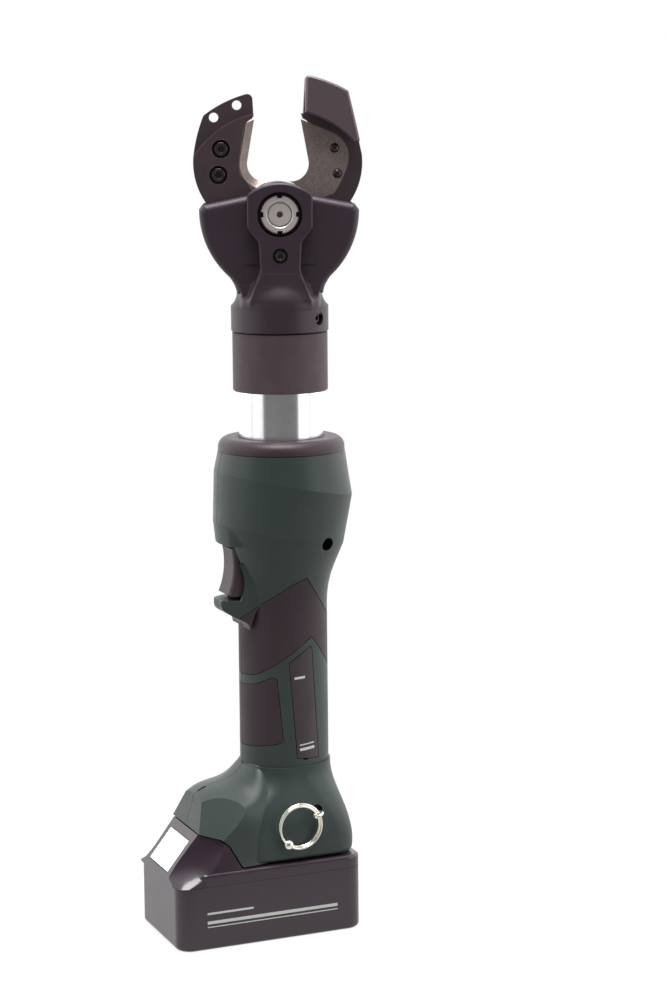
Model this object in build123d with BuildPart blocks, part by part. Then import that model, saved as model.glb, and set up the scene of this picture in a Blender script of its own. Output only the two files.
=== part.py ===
from build123d import *
import os
from math import atan2, cos, degrees, hypot, pi, radians, sin, sqrt

os.makedirs("parts", exist_ok=True)

# Driving dimensions, millimetres and degrees.
# The tool stands on its battery; Z is the tool axis, the trigger faces -X, the left side is -Y.

# Clearances
FIT = 0.05          # running fit between a shaft and its hole
PLAY = 0.3          # gap between pieces that move past each other
SEAT = 0.02         # gap between pieces that are pressed or screwed together
SEAM = 0.4          # parting line between the two housing halves

# Cutting head
PIVOT_Z = 413.5     # height of the jaw pivot
HEAD_TURN = -20.0   # swivel of the head about the tool axis at rest
CHEEK_V = 17.0      # half thickness over the two lobes
RIB_V = 24.0        # half thickness over the middle rib
SHOULDER_U = 44.75  # half width over the shoulders
SHOULDER_W = 5.6    # height of the shoulder corners over the pivot
LOBE_R = 49.75      # radius of each lobe's side
WAIST_DROP = 3.5    # turned groove under the lobes, below the neck
WAIST_W = -44.2
GROOVE_R = 9.8
NECK_PROUD = 0.6     # neck over the collar
NECK_BOTTOM_W = -66.2
HUB_R = 17.4        # height of the boss over the pivot
BOSS_U = 18.3       # half width of the boss
BOSS_TOP_W = 10.9   # upper and lower corners of its sides
BOSS_LOW_W = -7.5
RIB_TOP_U = 12.0    # half width of the rib under the boss and at its waist
RIB_TOP_W = -15.5
RIB_WAIST_U = 11.2
RIB_WAIST_W = -31.0
RIB_FOOT_U = 17.2   # half width where the rib runs into the neck
RIB_FOOT_W = -48.2
RIB_CORNER = 4.0
LOBE_ROUND = 4.0
LOBE_TOP_W = 11.6   # roof of the lobes in the middle and beside the boss
LOBE_EDGE_W = 10.4
SHOULDER_CUT = 2.6  # corner of the shoulder
WAIST_BOW = (1.4, 5.0)  # middle of the run from a lobe into the groove
NECK_LAP = 2.0      # neck reaches up into the lobes
RIB_ROUND = 1.3
SLOT_BOTTOM_W = -43.5
SPIGOT_H = 8.0

# Pivot bolt and its castellated nut
BOLT_R = 9.0
BOLT_CHAMFER = 1.0
THREAD_R = 6.9
NUT_R = 10.7
NUT_H = 6.6
NUT_CHAMFER = 0.6
NUT_NOTCH = 2.9
NUT_NOTCH_DEPTH = 1.7
NUT_RECESS_R = 12.6
NUT_RECESS_DEPTH = 8.0
PIN_FACE_R = 6.2
PIN_FACE_H = 2.2
PIN_FACE_DROP = 0.3
CENTRE_HOLE_R = 1.8
CENTRE_HOLE_DEPTH = 9.0

# Screws on the head
RIB_SCREW_W = -22.9
RIB_SCREW_HEAD_R = 3.5
RIB_SCREW_SINK_R = 4.3
RIB_SCREW_SINK_H = 2.6
RIB_SCREW_R = 1.9
RIB_SCREW_DEPTH = 6.4
RIB_SCREW_HEAD_H = 2.0
RIB_SCREW_L = 3.6
RIB_SCREW_SOCKET = 1.7
NECK_SCREW_W = -58.3
NECK_SCREW_ANGLE = 52.0
NECK_SCREW_R = 3.1
NECK_SCREW_SINK_R = 3.9
NECK_SCREW_SINK_H = 4.0
NECK_SCREW_DEPTH = 7.0
NECK_SCREW_HEAD_H = 2.2
NECK_SCREW_L = 2.8
NECK_SCREW_SOCKET = 1.6
NECK_THREAD_R = 1.5
SCREW_DOME = 0.6    # share of a screw head that is rounded, and depth of its socket

# Jaws: distances are measured from the pivot, a outwards and b upwards
JAW_T = 9.75        # thickness of one jaw layer
SHEAR_GAP = 0.3     # gap between the two shear faces
JAW_HUB_R = 17.9
STEP_R = 57.2       # jaw bodies end on this arc
STEP_LAP = 1.8       # tongue and cap reach under it
STEP_RISE = 5.0      # its outer end over the widest point
TONGUE_R = 68.6     # outer arc of the tongue
TONGUE_T = 3.2
TONGUE_EDGE_A = 13.4
TONGUE_LEAN = 0.7    # tongue's inner side leans back towards its top
TONGUE_TOP_ANGLE = 37.2
TONGUE_SIDE = (-2.1, 16.0)  # middle of the tongue's outer side, from the jaw's widest point
TONGUE_TURN = 2.0    # tongue runs this far round under the step
TONGUE_CORNER = 3.0
TONGUE_HOLE_R = 2.6
TONGUE_HOLE_PCR = 64.4
TONGUE_HOLE_ANGLES = (20.7, 33.7)
CAP_R = 78.4        # outer arc of the guide jaw's cap
CAP_INNER_R = 58.1
CAP_EDGE_A = 14.4
CAP_LEAN = 1.6       # cap's inner side leans back towards its top
CAP_TOP_ANGLE = 30.2
CAP_SIDE = (42.6, 54.5)
CAP_END_B = 40.0     # lower end of the cap's front layer
CAP_CORNER = 2.0
CAP_BEVEL = 1.0
JAW_OUT_A = 47.45   # widest point of a jaw
JAW_OUT_B = 27.0
JAW_ROOT = (41.6, 7.6)  # where the jaw enters the head
JAW_SIDE = (-0.3, -4.5)     # middle of the jaw's side, from its widest point
JAW_ARMPIT = (-8.6, -10.6)  # middle of the curve into the hub, from the root
JAW_HUB_ANGLES = (128.0, 50.0)
THROAT_FOOT = (1.2, -11.0)  # jaw body round the throat, from the throat's widest point
THROAT_BOW = (4.2, -6.9)
THROAT_BACK = (5.0, -2.5)
TIP_BACK = (6.3, -5.0)      # jaw body round the end of the cutting edge, from that end
TIP_BOW = (4.3, -1.7)
TIP_END = (1.2, 0.4)
EDGE_TOP = (13.1, 52.3)  # end of the cutting edge
THROAT = (17.2, 29.5)    # widest point of the throat
BLADE_T = 5.0
BLADE_LAND = 0.8     # flat left beside the ground bevel
BLADE_TOP = (31.0, 44.6)
BLADE_SIDE = (39.1, 26.2)
BLADE_FOOT = (31.4, 10.8)
BLADE_BOW = (-3.5, -9.0)  # middle of the throat's edge, from its widest point
BLADE_LIFT = 0.8     # blade seat over the jaw hub
BLADE_SEAT_ANGLES = (70.0, 17.0)
BLADE_SCREWS = ((32.0, 36.2), (33.6, 21.9))
BLADE_SCREW_R = 2.7
BLADE_SCREW_HEAD_R = 4.3
BLADE_SCREW_SINK_R = 5.3
BLADE_SCREW_HEAD_H = 2.9
BLADE_SCREW_SINK_H = 3.4
BLADE_SCREW_SOCKET = 2.2
BLADE_SCREW_SHORT = 0.1  # end of the screw under the shear face

# Ram and cam drive
CLOSE_ANGLE = 37.0  # turn of each jaw from open to closed
STROKE = 13.0       # ram travel that closes the jaws
PIN_DROP = 34.0     # drive pin under the pivot at rest
DRIVE_PIN_R = 4.0
CAM_PLAY = 0.12
TAIL_R = 8.5        # half width of the jaw tails round the cam slots
ROD_R = 15.5
CLEVIS_U = 8.0
CLEVIS_TOP = 7.0
CLEVIS_FLOOR_W = -48.4
CHANNEL_ROOM = 1.0  # yoke round the moving clevis
CHANNEL_SINK = 6.0
STUD_R = 8.0
PISTON_H = 14.0
PISTON_TOP_Z = 284.0
SEAL_H = 4.0
SEAL_DEPTH = 2.4

# Hydraulic cylinder and swivel collar
TUBE_R = 24.0
TUBE_WALL = 5.0
TUBE_BOTTOM_Z = 252.0
GUIDE_H = 14.0
COLLAR_WALL = 3.1
COLLAR_BOTTOM_Z = 313.5
COLLAR_CHAMFER = 0.6
RING_Z = 325.0
RING_H = 3.0
RING_SINK = 1.2
RING_PROUD = 1.3
SPRING_WIRE = 2.2
SPRING_TURNS = 5

# Handle form: each oval is set by its front and back points (x, z) and its half width
NOSE_OVAL = ((-36.45, 279.0), (36.45, 279.0), 36.3)
UPPER_CREASE = ((-39.0, 268.5), (40.7, 252.3), 38.2)
LOWER_CREASE = ((-40.3, 239.0), (35.4, 224.6), 35.6)
GRIP_TOP = ((-26.3, 201.5), (25.7, 201.5), 23.7)
GRIP_BOTTOM = ((-26.4, 97.5), (25.9, 97.5), 23.7)
WALL = 3.0
GRIP_BLEND = 0.45   # share of the slope over the grip that is rounded
GRIP_BLEND_LOW = 0.12
GRIP_BLEND_STEPS = 5
GRIP_T = 1.6        # rubber inlays
LABEL_T = 0.8
INLAY_GAP = 0.45    # line round each inlay
INLAY_REACH = 4.0   # outlines run past the grip in front and behind
PAD_CORNER = 2.5
BAND_CORNER = 1.2
LABEL_CORNER = 0.8

# Nose ring
NOSE_TOP_Z = 287.0
NOSE_LIP = 7.0      # skirt inside the housing
NOSE_EDGE_R = 31.8
NOSE_SIDE_H = 2.2
NOSE_BEVEL = 1.4    # round the tube

# Foot: rings from the grip down as (z, front x, back x, half width, corner radius)
FOOT_RINGS = (
    (97.5, -27.0, 26.5, 24.3, 23.6),
    (91.0, -28.0, 26.6, 24.6, 23.0),
    (80.0, -34.0, 27.6, 28.2, 18.0),
    (67.5, -38.0, 30.6, 31.6, 14.0),
    (45.3, -39.3, 31.8, 33.0, 12.0),
)
FOOT_ROUND = 2.5    # lower edge of the foot
# Toe: rings from the grip forwards as (x, heights of ridge and shoulders, inset from the foot's sides)
TOE_RINGS = (
    (-20.0, 103.0, 82.0, 3.0),
    (-28.0, 95.5, 81.0, 1.2),
    (-34.0, 90.3, 80.2, 0.4),
    (-41.0, 88.0, 79.5, 0.2),
    (-47.0, 86.6, 78.0, 0.2),
    (-56.5, 82.3, 74.0, 0.2),
    (-63.0, 79.0, 70.5, 0.2),
)
TOE_SHOULDER_W = 28.5  # half width at the shoulders
TOE_ROUNDING = 2.2     # power of the curve from the ridge to the shoulders
TOE_SHARES = (0.35, 0.6, 0.85, 1.0)
TOE_SIDE_Z = 58.0
TOE_PEAK = (-54.1, 90.0)
TOE_TIP = (-62.0, 64.6)
ARCH_TOP = (-51.9, 62.6)
ARCH_TURN = (-46.9, 58.6)
FACET_BROW = (-56.7, -12.5, 81.6)  # corners of the bevelled face on each side of the toe
FACET_TIP = (-61.9, -22.0, 65.0)
FACET_BACK = (-35.0, -25.5, 85.5)
LAMP_SLOT = (6.0, 2.6)
LAMP_SPOT = (-52.0, 84.6)
LAMP_TILT = 24.0
LAMP_SINK = 0.6     # lens under the toe's skin
LAMP_T = 3.0

# Inside of the foot
CAVITY_FLOOR_Z = 64.0
CAVITY_ROOF_Z = 80.0
CAVITY_FRONT_X = -36.0
CAVITY_BACK_X = 24.0
CAVITY_HALF_W = 22.0

# Trigger, pivoted near its top
TRIGGER_W = 20.0
TRIGGER_TOP_Z = 225.6
TRIGGER_LOW_Z = 197.6
TRIGGER_FRONT = ((-34.2, 224.8), (-33.3, 214.0), (-36.8, 198.6))
TRIGGER_BACK_X = -22.8
TRIGGER_TOE = 1.4   # small steps at the trigger's ends
TRIGGER_HEEL = 1.0
TRIGGER_STEP = 4.0
TRIGGER_LOW_BACK = (-26.8, 212.5)
TRIGGER_PIVOT = (-26.0, 221.0)
TRIGGER_PIN_R = 1.6
TRIGGER_ROUND = 3.0
TRIGGER_ROOM = 0.6  # beside and above the trigger
CHEEK_T = 2.5       # walls that hold the trigger pin
CHEEK_L = 12.0
CHEEK_H = 14.0

# Finger hook under the trigger, and the wall behind the trigger
HOOK_TOP_Z = 195.2
HOOK_TIP = (-40.4, 192.8)
HOOK_UNDER = ((-37.8, 188.1), (-29.7, 183.6))
HOOK_ROOT = (-26.1, 178.6)
HOOK_BACK = ((-22.6, 189.0), (-14.0, 199.5))  # under the wall, along the band
HOOK_ROUND = 1.2
HOOK_PLAN = (43.0, 17.5)  # half axes of the hook's oval plan
OPENING_TOP = (-30.8, 216.2)
OPENING_MIDDLE = (-28.2, 203.5)
OPENING_LOW_X = -30.6
OPENING_BACK_X = -20.8

# Housing screws on the left side, as (x, z)
SCREW_SPOTS = ((15.4, 227.5), (4.0, 105.0))
SCREW_BOSS_R = 4.6
SCREW_WELL_R = 3.9
SCREW_HEAD_R = 3.4
SCREW_HEAD_H = 2.4
SCREW_R = 1.7
SCREW_SEAT_Y = 17.0
SCREW_GRIP = 14.0   # length of thread in the right half

# Drive train in the grip, from the motor up to the pump
MOTOR_R = 17.6
MOTOR_LOW_Z = 112.0
MOTOR_H = 50.0
MOTOR_HUB_R = 7.0
MOTOR_HUB_H = 2.4
MOTOR_RIBS = (117.0, 155.0)
RIB_T = 2.0
GEAR_R = 18.6
GEAR_H = 32.0
GEAR_GROOVE = 1.0
PUMP_FOOT_R = 15.5
PUMP_FOOT_H = 24.0
PUMP_NECK_R = 10.4
PUMP_BODY_Z = 236.0
PUMP_SOCKET_WALL = 4.5
PUMP_SOCKET_H = 10.0
SHAFT_R = 4.0
SHAFT_DROP = 13.0   # shaft in the gear unit
JOURNAL_H = 9.0
ECCENTRIC_R = 6.0
ECCENTRIC_THROW = 0.8
ECCENTRIC_H = 8.0
PLUNGER_R = 3.0
PLUNGER_L = 6.0
BLADDER_T = 4.0
BLADDER_H = 13.0
BLADDER_OPEN = 160.0
SWITCH_W = 16.0
SWITCH_LOW_Z = 196.0
SWITCH_TOP_Z = 212.0
SWITCH_FRONT_X = -22.8
BOARD_L = 54.0
BOARD_W = 38.0
BOARD_T = 6.0
TERMINAL_X = 13.0
TERMINAL_L = 16.0
TERMINAL_W = 34.0
TERMINAL_FLANGE = 2.0
TERMINAL_FLANGE_T = 2.0
TERMINAL_PITCH = 24.0
TERMINAL_BLADE_L = 11.0
TERMINAL_BLADE_T = 1.2
TERMINAL_BLADE_H = 6.5

# Lanyard ring on the left side of the foot
RING_CENTRE = (-5.3, 66.0)
RING_MEAN_R = 12.4
RING_WIRE_R = 1.3
RING_Y = -36.1
RING_EYE_ANGLE = 27.0
BEAD_R = 3.0
BEAD_ANGLE = 233.0
EYE_WIRE_R = 0.9
EYE_BORE_R = 1.7
EYE_STUD_R = 1.3
EYE_HOLE_R = 3.4
EYE_HOLE_SHIFT = 1.8
EYE_HOLE_Y = -26.0

# Battery
PACK_END = 9.0      # room past the cells at each end
PACK_CENTRE_X = -22.4
PACK_CORNER = 9.0
PACK_SEAM_Z = 37.0
PACK_RIM_Z = 44.4
PACK_FOOT_ROUND = 2.5
PACK_RIM_ROUND = 2.0
PACK_WALL = 2.7
PACK_SEAM = 0.2     # line between the case and its top
RIM_FRONT_X = -66.0
RIM_CORNER = 4.0
CELL_R = 9.1
CELL_L = 65.0
CELL_PITCH = 19.0
CELL_SHIFT = 1.0    # cells sit behind the middle of the pack
CELL_COLUMNS = 5
CELL_ROOM = 1.4     # share of a cell's radius that the top leaves free at each end
RAIL_NECK_W = 46.0
RAIL_HEAD_W = 54.0
RAIL_NECK_Z = 51.0
RAIL_TOP_Z = 59.5
RAIL_BACK_X = 26.0
# Tower: rings upwards as (height over the seam; ridge, hollow and flank inside the pack's
# side; hollow and flank behind the slope)
TOWER_RINGS = (
    (0.0, 9.0, 2.6, 0.2, 5.6, 13.0),
    (2.6, 13.0, 4.6, 0.5, 7.8, 16.0),
    (6.8, 15.5, 7.0, 1.2, 9.7, 18.2),
    (15.8, 16.0, 10.0, 2.9, 9.5, 18.0),
    (28.8, 14.9, 8.6, 4.2, 6.3, 12.1),
)
TOWER_FOOT_Z = 41.2
TOWER_PROUD = 1.5   # tower before the case
TOWER_GAP = 0.8     # tower under the arch of the foot
CONTACT_T = 0.8
CONTACT_SLOT_W = 6.0
PACK_SCREW_R = 1.5
PACK_SCREW_HEAD_R = 2.7
PACK_SCREW_HEAD_H = 2.0
PACK_SCREW_SINK = 5.0
PACK_BOSS_R = 3.4
PACK_BOSS_INSET = 4.8   # screws from the ends and from the sides of the pack
PACK_BOSS_SIDE = 13.5
PACK_SCREW_BITE = 4.0

# Release button in the tower's slope
BUTTON_W = 30.5
BUTTON_TOP_X = -65.8
BUTTON_LOW_X = -79.0
BUTTON_T = 5.6      # measured upright
BUTTON_TRAVEL = 3.0
BUTTON_SPRING_X = -69.2
BUTTON_SPRING_R = 2.3
BUTTON_SPRING_WIRE = 0.7
BUTTON_SPRING_LOW_Z = 40.1
BUTTON_CAP_T = 1.2

# Head planes: u to the right and w up as seen from the front, v out of the front face
TURN = radians(HEAD_TURN)
HEAD_U = Vector(cos(TURN), sin(TURN), 0)
HEAD_V = Vector(sin(TURN), -cos(TURN), 0)
PIVOT = Vector(0, 0, PIVOT_Z)
FRONT = Plane(origin=PIVOT, x_dir=HEAD_U, z_dir=HEAD_V)
BACK = Plane(origin=PIVOT, x_dir=-HEAD_U, z_dir=-HEAD_V)
HEAD_AXIS = Axis(PIVOT, HEAD_V)
NECK_BOTTOM_Z = PIVOT_Z + NECK_BOTTOM_W
TUBE_BORE_R = TUBE_R - TUBE_WALL
COLLAR_R = TUBE_R + COLLAR_WALL
NECK_R = COLLAR_R + NECK_PROUD
WAIST_R = NECK_R - WAIST_DROP
TUBE_TOP_Z = NECK_BOTTOM_Z - SPIGOT_H - PLAY
LAYER_TOP = SHEAR_GAP / 2
LAYER_END = LAYER_TOP + JAW_T
SLOT_V = LAYER_END + PLAY
CLEVIS_V = ROD_R
NECK_SCREW_PLANES = [
    Plane(
        origin=(0, 0, PIVOT_Z + NECK_SCREW_W),
        x_dir=(0, 0, 1),
        z_dir=HEAD_V.rotate(Axis.Z, NECK_SCREW_ANGLE + turn),
    ).offset(NECK_R)
    for turn in (0, 180)
]


def polar(radius, angle):
    """Point at an angle, in degrees, measured from straight up towards +a."""
    return (radius * sin(radians(angle)), radius * cos(radians(angle)))


def angle_of(point):
    return degrees(atan2(point[0], point[1]))


def arc_about_pivot(radius, from_angle, to_angle):
    """Arc round the pivot between two angles from straight up."""
    middle = polar(radius, (from_angle + to_angle) / 2)
    return ThreePointArc(polar(radius, from_angle), middle, polar(radius, to_angle))


def shifted(point, shift):
    return (point[0] + shift[0], point[1] + shift[1])


def on_arc(radius, a):
    """Point of the circle round the pivot at the distance a from the middle plane."""
    return (a, sqrt(radius**2 - a**2))


STEP_END = (JAW_OUT_A, JAW_OUT_B + STEP_RISE)

# Lobe side: an arc whose centre lies past the middle plane
LOBE_CENTRE = (SHOULDER_U - LOBE_R, 2.1)
LOBE_END_ANGLE = 45.0
LOBE_END = (
    LOBE_CENTRE[0] + LOBE_R * cos(radians(LOBE_END_ANGLE)),
    LOBE_CENTRE[1] - LOBE_R * sin(radians(LOBE_END_ANGLE)),
)
LOBE_MIDDLE = (
    LOBE_CENTRE[0] + LOBE_R * cos(radians(LOBE_END_ANGLE / 2)),
    LOBE_CENTRE[1] - LOBE_R * sin(radians(LOBE_END_ANGLE / 2)),
)

# The two lobes of the yoke, rounded on both faces
with BuildPart() as lobes:
    with BuildSketch(FRONT):
        with BuildLine():
            ridge = Line((0, LOBE_TOP_W), (BOSS_U, LOBE_EDGE_W))
            roof = Line(ridge @ 1, (SHOULDER_U - SHOULDER_CUT, SHOULDER_W))
            corner = Line(roof @ 1, (SHOULDER_U, LOBE_CENTRE[1]))
            side = ThreePointArc(corner @ 1, LOBE_MIDDLE, LOBE_END)
            waist_top = (WAIST_R, WAIST_W)
            waist = ThreePointArc(side @ 1, shifted(waist_top, WAIST_BOW), waist_top)
            Line(waist @ 1, (0, WAIST_W))
            mirror(about=Plane.YZ)
        make_face()
    extrude(amount=CHEEK_V, both=True)
    fillet(lobes.faces().filter_by(HEAD_AXIS).edges(), radius=LOBE_ROUND)


# The middle rib with the pivot boss, rounded on both faces
with BuildPart() as rib:
    with BuildSketch(FRONT):
        with BuildLine():
            ThreePointArc((-BOSS_U, BOSS_TOP_W), (0, HUB_R), (BOSS_U, BOSS_TOP_W))
            for side in (-1, 1):
                Polyline(
                    (side * BOSS_U, BOSS_TOP_W), (side * BOSS_U, BOSS_LOW_W), (side * RIB_TOP_U, RIB_TOP_W),
                    (side * RIB_WAIST_U, RIB_WAIST_W), (side * RIB_FOOT_U, RIB_FOOT_W),
                )
            Line((-RIB_FOOT_U, RIB_FOOT_W), (RIB_FOOT_U, RIB_FOOT_W))
        make_face()
        fillet(vertices().sort_by(Axis.Y)[2:], radius=RIB_CORNER)
    extrude(amount=RIB_V, both=True)
    fillet(rib.faces().filter_by(HEAD_AXIS).edges(), radius=RIB_ROUND)

# Head yoke: lobes, rib and turned neck, slotted for the jaws and bored for the ram
with BuildPart() as head_yoke:
    add(lobes.part)
    add(rib.part)
    with BuildSketch(Plane.XZ):
        with BuildLine():
            waist_z = PIVOT_Z + WAIST_W
            neck_top = waist_z + NECK_LAP
            groove_low = waist_z - sqrt(GROOVE_R**2 - (WAIST_R + GROOVE_R - NECK_R) ** 2)
            groove_mid = (WAIST_R + GROOVE_R * (1 - cos(pi / 8)), waist_z - GROOVE_R * sin(pi / 8))
            Polyline(
                (0, neck_top),
                (0, NECK_BOTTOM_Z - SPIGOT_H),
                (TUBE_R, NECK_BOTTOM_Z - SPIGOT_H),
                (TUBE_R, NECK_BOTTOM_Z),
                (NECK_R - COLLAR_CHAMFER, NECK_BOTTOM_Z),
                (NECK_R, NECK_BOTTOM_Z + COLLAR_CHAMFER),
                (NECK_R, groove_low),
            )
            ThreePointArc((NECK_R, groove_low), groove_mid, (WAIST_R, waist_z))
            Polyline(
                (WAIST_R, waist_z),
                (WAIST_R, neck_top),
                (0, neck_top),
            )
        make_face()
    revolve(axis=Axis.Z)
    with BuildSketch(FRONT):
        with Locations((0, SLOT_BOTTOM_W)):
            Rectangle(4 * SHOULDER_U, 4 * SHOULDER_U, align=(Align.CENTER, Align.MIN))
    extrude(amount=SLOT_V, both=True, mode=Mode.SUBTRACT)
    with BuildSketch(FRONT):
        channel_top = -PIN_DROP + STROKE + CLEVIS_TOP + CHANNEL_ROOM
        channel_h = channel_top - SLOT_BOTTOM_W + CHANNEL_SINK
        with Locations((0, channel_top)):
            Rectangle(2 * (CLEVIS_U + CHANNEL_ROOM), channel_h, align=(Align.CENTER, Align.MAX))
    extrude(amount=CLEVIS_V + 2 * PLAY, both=True, mode=Mode.SUBTRACT)
    with BuildSketch(Plane.XY.offset(NECK_BOTTOM_Z - SPIGOT_H)):
        Circle(ROD_R + 2 * PLAY)
    extrude(amount=SPIGOT_H - NECK_BOTTOM_W + SLOT_BOTTOM_W + CHANNEL_ROOM, mode=Mode.SUBTRACT)
    with BuildSketch(FRONT):
        Circle(BOLT_R + SEAT)
    extrude(amount=RIB_V, both=True, mode=Mode.SUBTRACT)
    for face in (FRONT, BACK):
        with BuildSketch(face.offset(RIB_V)):
            Circle(NUT_RECESS_R)
        extrude(amount=-NUT_RECESS_DEPTH, mode=Mode.SUBTRACT)
        with Locations(face.offset(RIB_V) * Pos(0, RIB_SCREW_W)):
            CounterBoreHole(RIB_SCREW_R + SEAT, RIB_SCREW_SINK_R, RIB_SCREW_SINK_H, depth=RIB_SCREW_DEPTH)
    for plane in NECK_SCREW_PLANES:
        with Locations(plane):
            CounterBoreHole(NECK_THREAD_R, NECK_SCREW_SINK_R, NECK_SCREW_SINK_H, depth=NECK_SCREW_DEPTH)
head_yoke.part.label = "head_yoke"
export_step(head_yoke.part, "parts/head_yoke.step")

# Pivot bolt: shank through both cheeks, thread for the nut in front, low head behind
with BuildPart() as pivot_bolt:
    seat_v = RIB_V - NUT_RECESS_DEPTH
    with BuildSketch(FRONT.offset(-seat_v)):
        Circle(BOLT_R)
    extrude(amount=2 * seat_v)
    with BuildSketch(FRONT.offset(seat_v)):
        Circle(THREAD_R)
    extrude(amount=NUT_H - PIN_FACE_DROP - PIN_FACE_H)
    with BuildSketch(FRONT.offset(seat_v + NUT_H - PIN_FACE_DROP)):
        Circle(PIN_FACE_R)
    extrude(amount=-PIN_FACE_H)
    with BuildSketch(BACK.offset(seat_v)):
        Circle(NUT_R)
    extrude(amount=NUT_H)
    chamfer(pivot_bolt.faces().sort_by(HEAD_AXIS)[0].edges(), length=BOLT_CHAMFER)
    with Locations(FRONT.offset(seat_v + NUT_H - PIN_FACE_DROP), BACK.offset(seat_v + NUT_H)):
        Hole(CENTRE_HOLE_R, depth=CENTRE_HOLE_DEPTH)
pivot_bolt.part.label = "pivot_bolt"
export_step(pivot_bolt.part, "parts/pivot_bolt.step")

# Castellated round nut in the front recess
with BuildPart() as pivot_nut:
    with BuildSketch(FRONT.offset(RIB_V - NUT_RECESS_DEPTH)):
        Circle(NUT_R)
        Circle(THREAD_R + SEAT, mode=Mode.SUBTRACT)
        with PolarLocations(NUT_R, 4):
            Rectangle(2 * NUT_NOTCH_DEPTH, NUT_NOTCH, mode=Mode.SUBTRACT)
    extrude(amount=NUT_H)
    nut_face = pivot_nut.faces().sort_by(HEAD_AXIS)[-1]
    chamfer(nut_face.edges().filter_by(GeomType.CIRCLE), length=NUT_CHAMFER)
pivot_nut.part.label = "pivot_nut"
export_step(pivot_nut.part, "parts/pivot_nut.step")


def button_screw(plane, head_r, head_h, shank_r, shank_l, socket_r):
    """Round-headed screw whose head sits on the plane, with the shank going in behind it."""
    with BuildPart() as screw:
        with BuildSketch(plane):
            Circle(head_r)
        extrude(amount=head_h)
        head_face = screw.faces().sort_by(Axis(plane.origin, plane.z_dir))[-1]
        fillet(head_face.edges(), radius=head_h * SCREW_DOME)
        with BuildSketch(plane):
            Circle(shank_r)
        extrude(amount=-shank_l)
        with BuildSketch(plane.offset(head_h)):
            RegularPolygon(socket_r, 6)
        extrude(amount=-head_h * SCREW_DOME, mode=Mode.SUBTRACT)
    return screw.part


with BuildPart() as rib_screws:
    for face in (FRONT, BACK):
        seat = face.offset(RIB_V - RIB_SCREW_SINK_H) * Pos(0, RIB_SCREW_W)
        add(button_screw(
            Plane(seat), RIB_SCREW_HEAD_R, RIB_SCREW_HEAD_H, RIB_SCREW_R, RIB_SCREW_L, RIB_SCREW_SOCKET
        ))
rib_screws.part.label = "rib_screws"
export_step(rib_screws.part, "parts/rib_screws.step")

with BuildPart() as neck_screws:
    for plane in NECK_SCREW_PLANES:
        seat = plane.offset(-NECK_SCREW_SINK_H)
        thread_r = NECK_THREAD_R - SEAT
        add(button_screw(seat, NECK_SCREW_R, NECK_SCREW_HEAD_H, thread_r, NECK_SCREW_L, NECK_SCREW_SOCKET))
neck_screws.part.label = "neck_screws"
export_step(neck_screws.part, "parts/neck_screws.step")


def cam_point(travel):
    """Drive pin in the frame of a jaw that has turned in step with the ram travel."""
    turn = CLOSE_ANGLE * travel / STROKE
    drop = PIN_DROP - travel
    return (-drop * sin(radians(turn)), -drop * cos(radians(turn)))


CAM_STEPS = 5
CAM_POINTS = [cam_point(STROKE * step / CAM_STEPS) for step in range(CAM_STEPS + 1)]


def cam_band(half_width):
    """Band of constant width along the path of the drive pin in a jaw."""
    with BuildSketch() as band:
        with BuildLine():
            Spline(CAM_POINTS)
        trace(line_width=2 * half_width)
        with Locations(CAM_POINTS[0], CAM_POINTS[-1]):
            Circle(half_width)
    return band.sketch


def blade_outline(grow=0.0):
    """Curved shear blade: cutting edge towards the throat, foot seated on the jaw hub."""
    seat_r = JAW_HUB_R + BLADE_LIFT
    with BuildSketch() as outline:
        with BuildLine():
            top_edge = Line(EDGE_TOP, BLADE_TOP)
            shoulder_arc = TangentArc(top_edge @ 1, BLADE_SIDE, tangent=top_edge % 1)
            foot_arc = TangentArc(shoulder_arc @ 1, BLADE_FOOT, tangent=shoulder_arc % 1)
            Line(foot_arc @ 1, polar(seat_r, BLADE_SEAT_ANGLES[0]))
            seat = arc_about_pivot(seat_r, *BLADE_SEAT_ANGLES)
            edge = Line(THROAT, EDGE_TOP)
            TangentArc(THROAT, seat @ 1, tangent=(edge % 0) * -1)
        make_face()
        if grow:
            offset(amount=grow)
    return outline.sketch


def back_of(plane):
    """Plane on the far face of a jaw layer, looking out of it."""
    return Plane(origin=plane.origin - plane.z_dir * LAYER_END, x_dir=-plane.x_dir, z_dir=-plane.z_dir)


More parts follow.
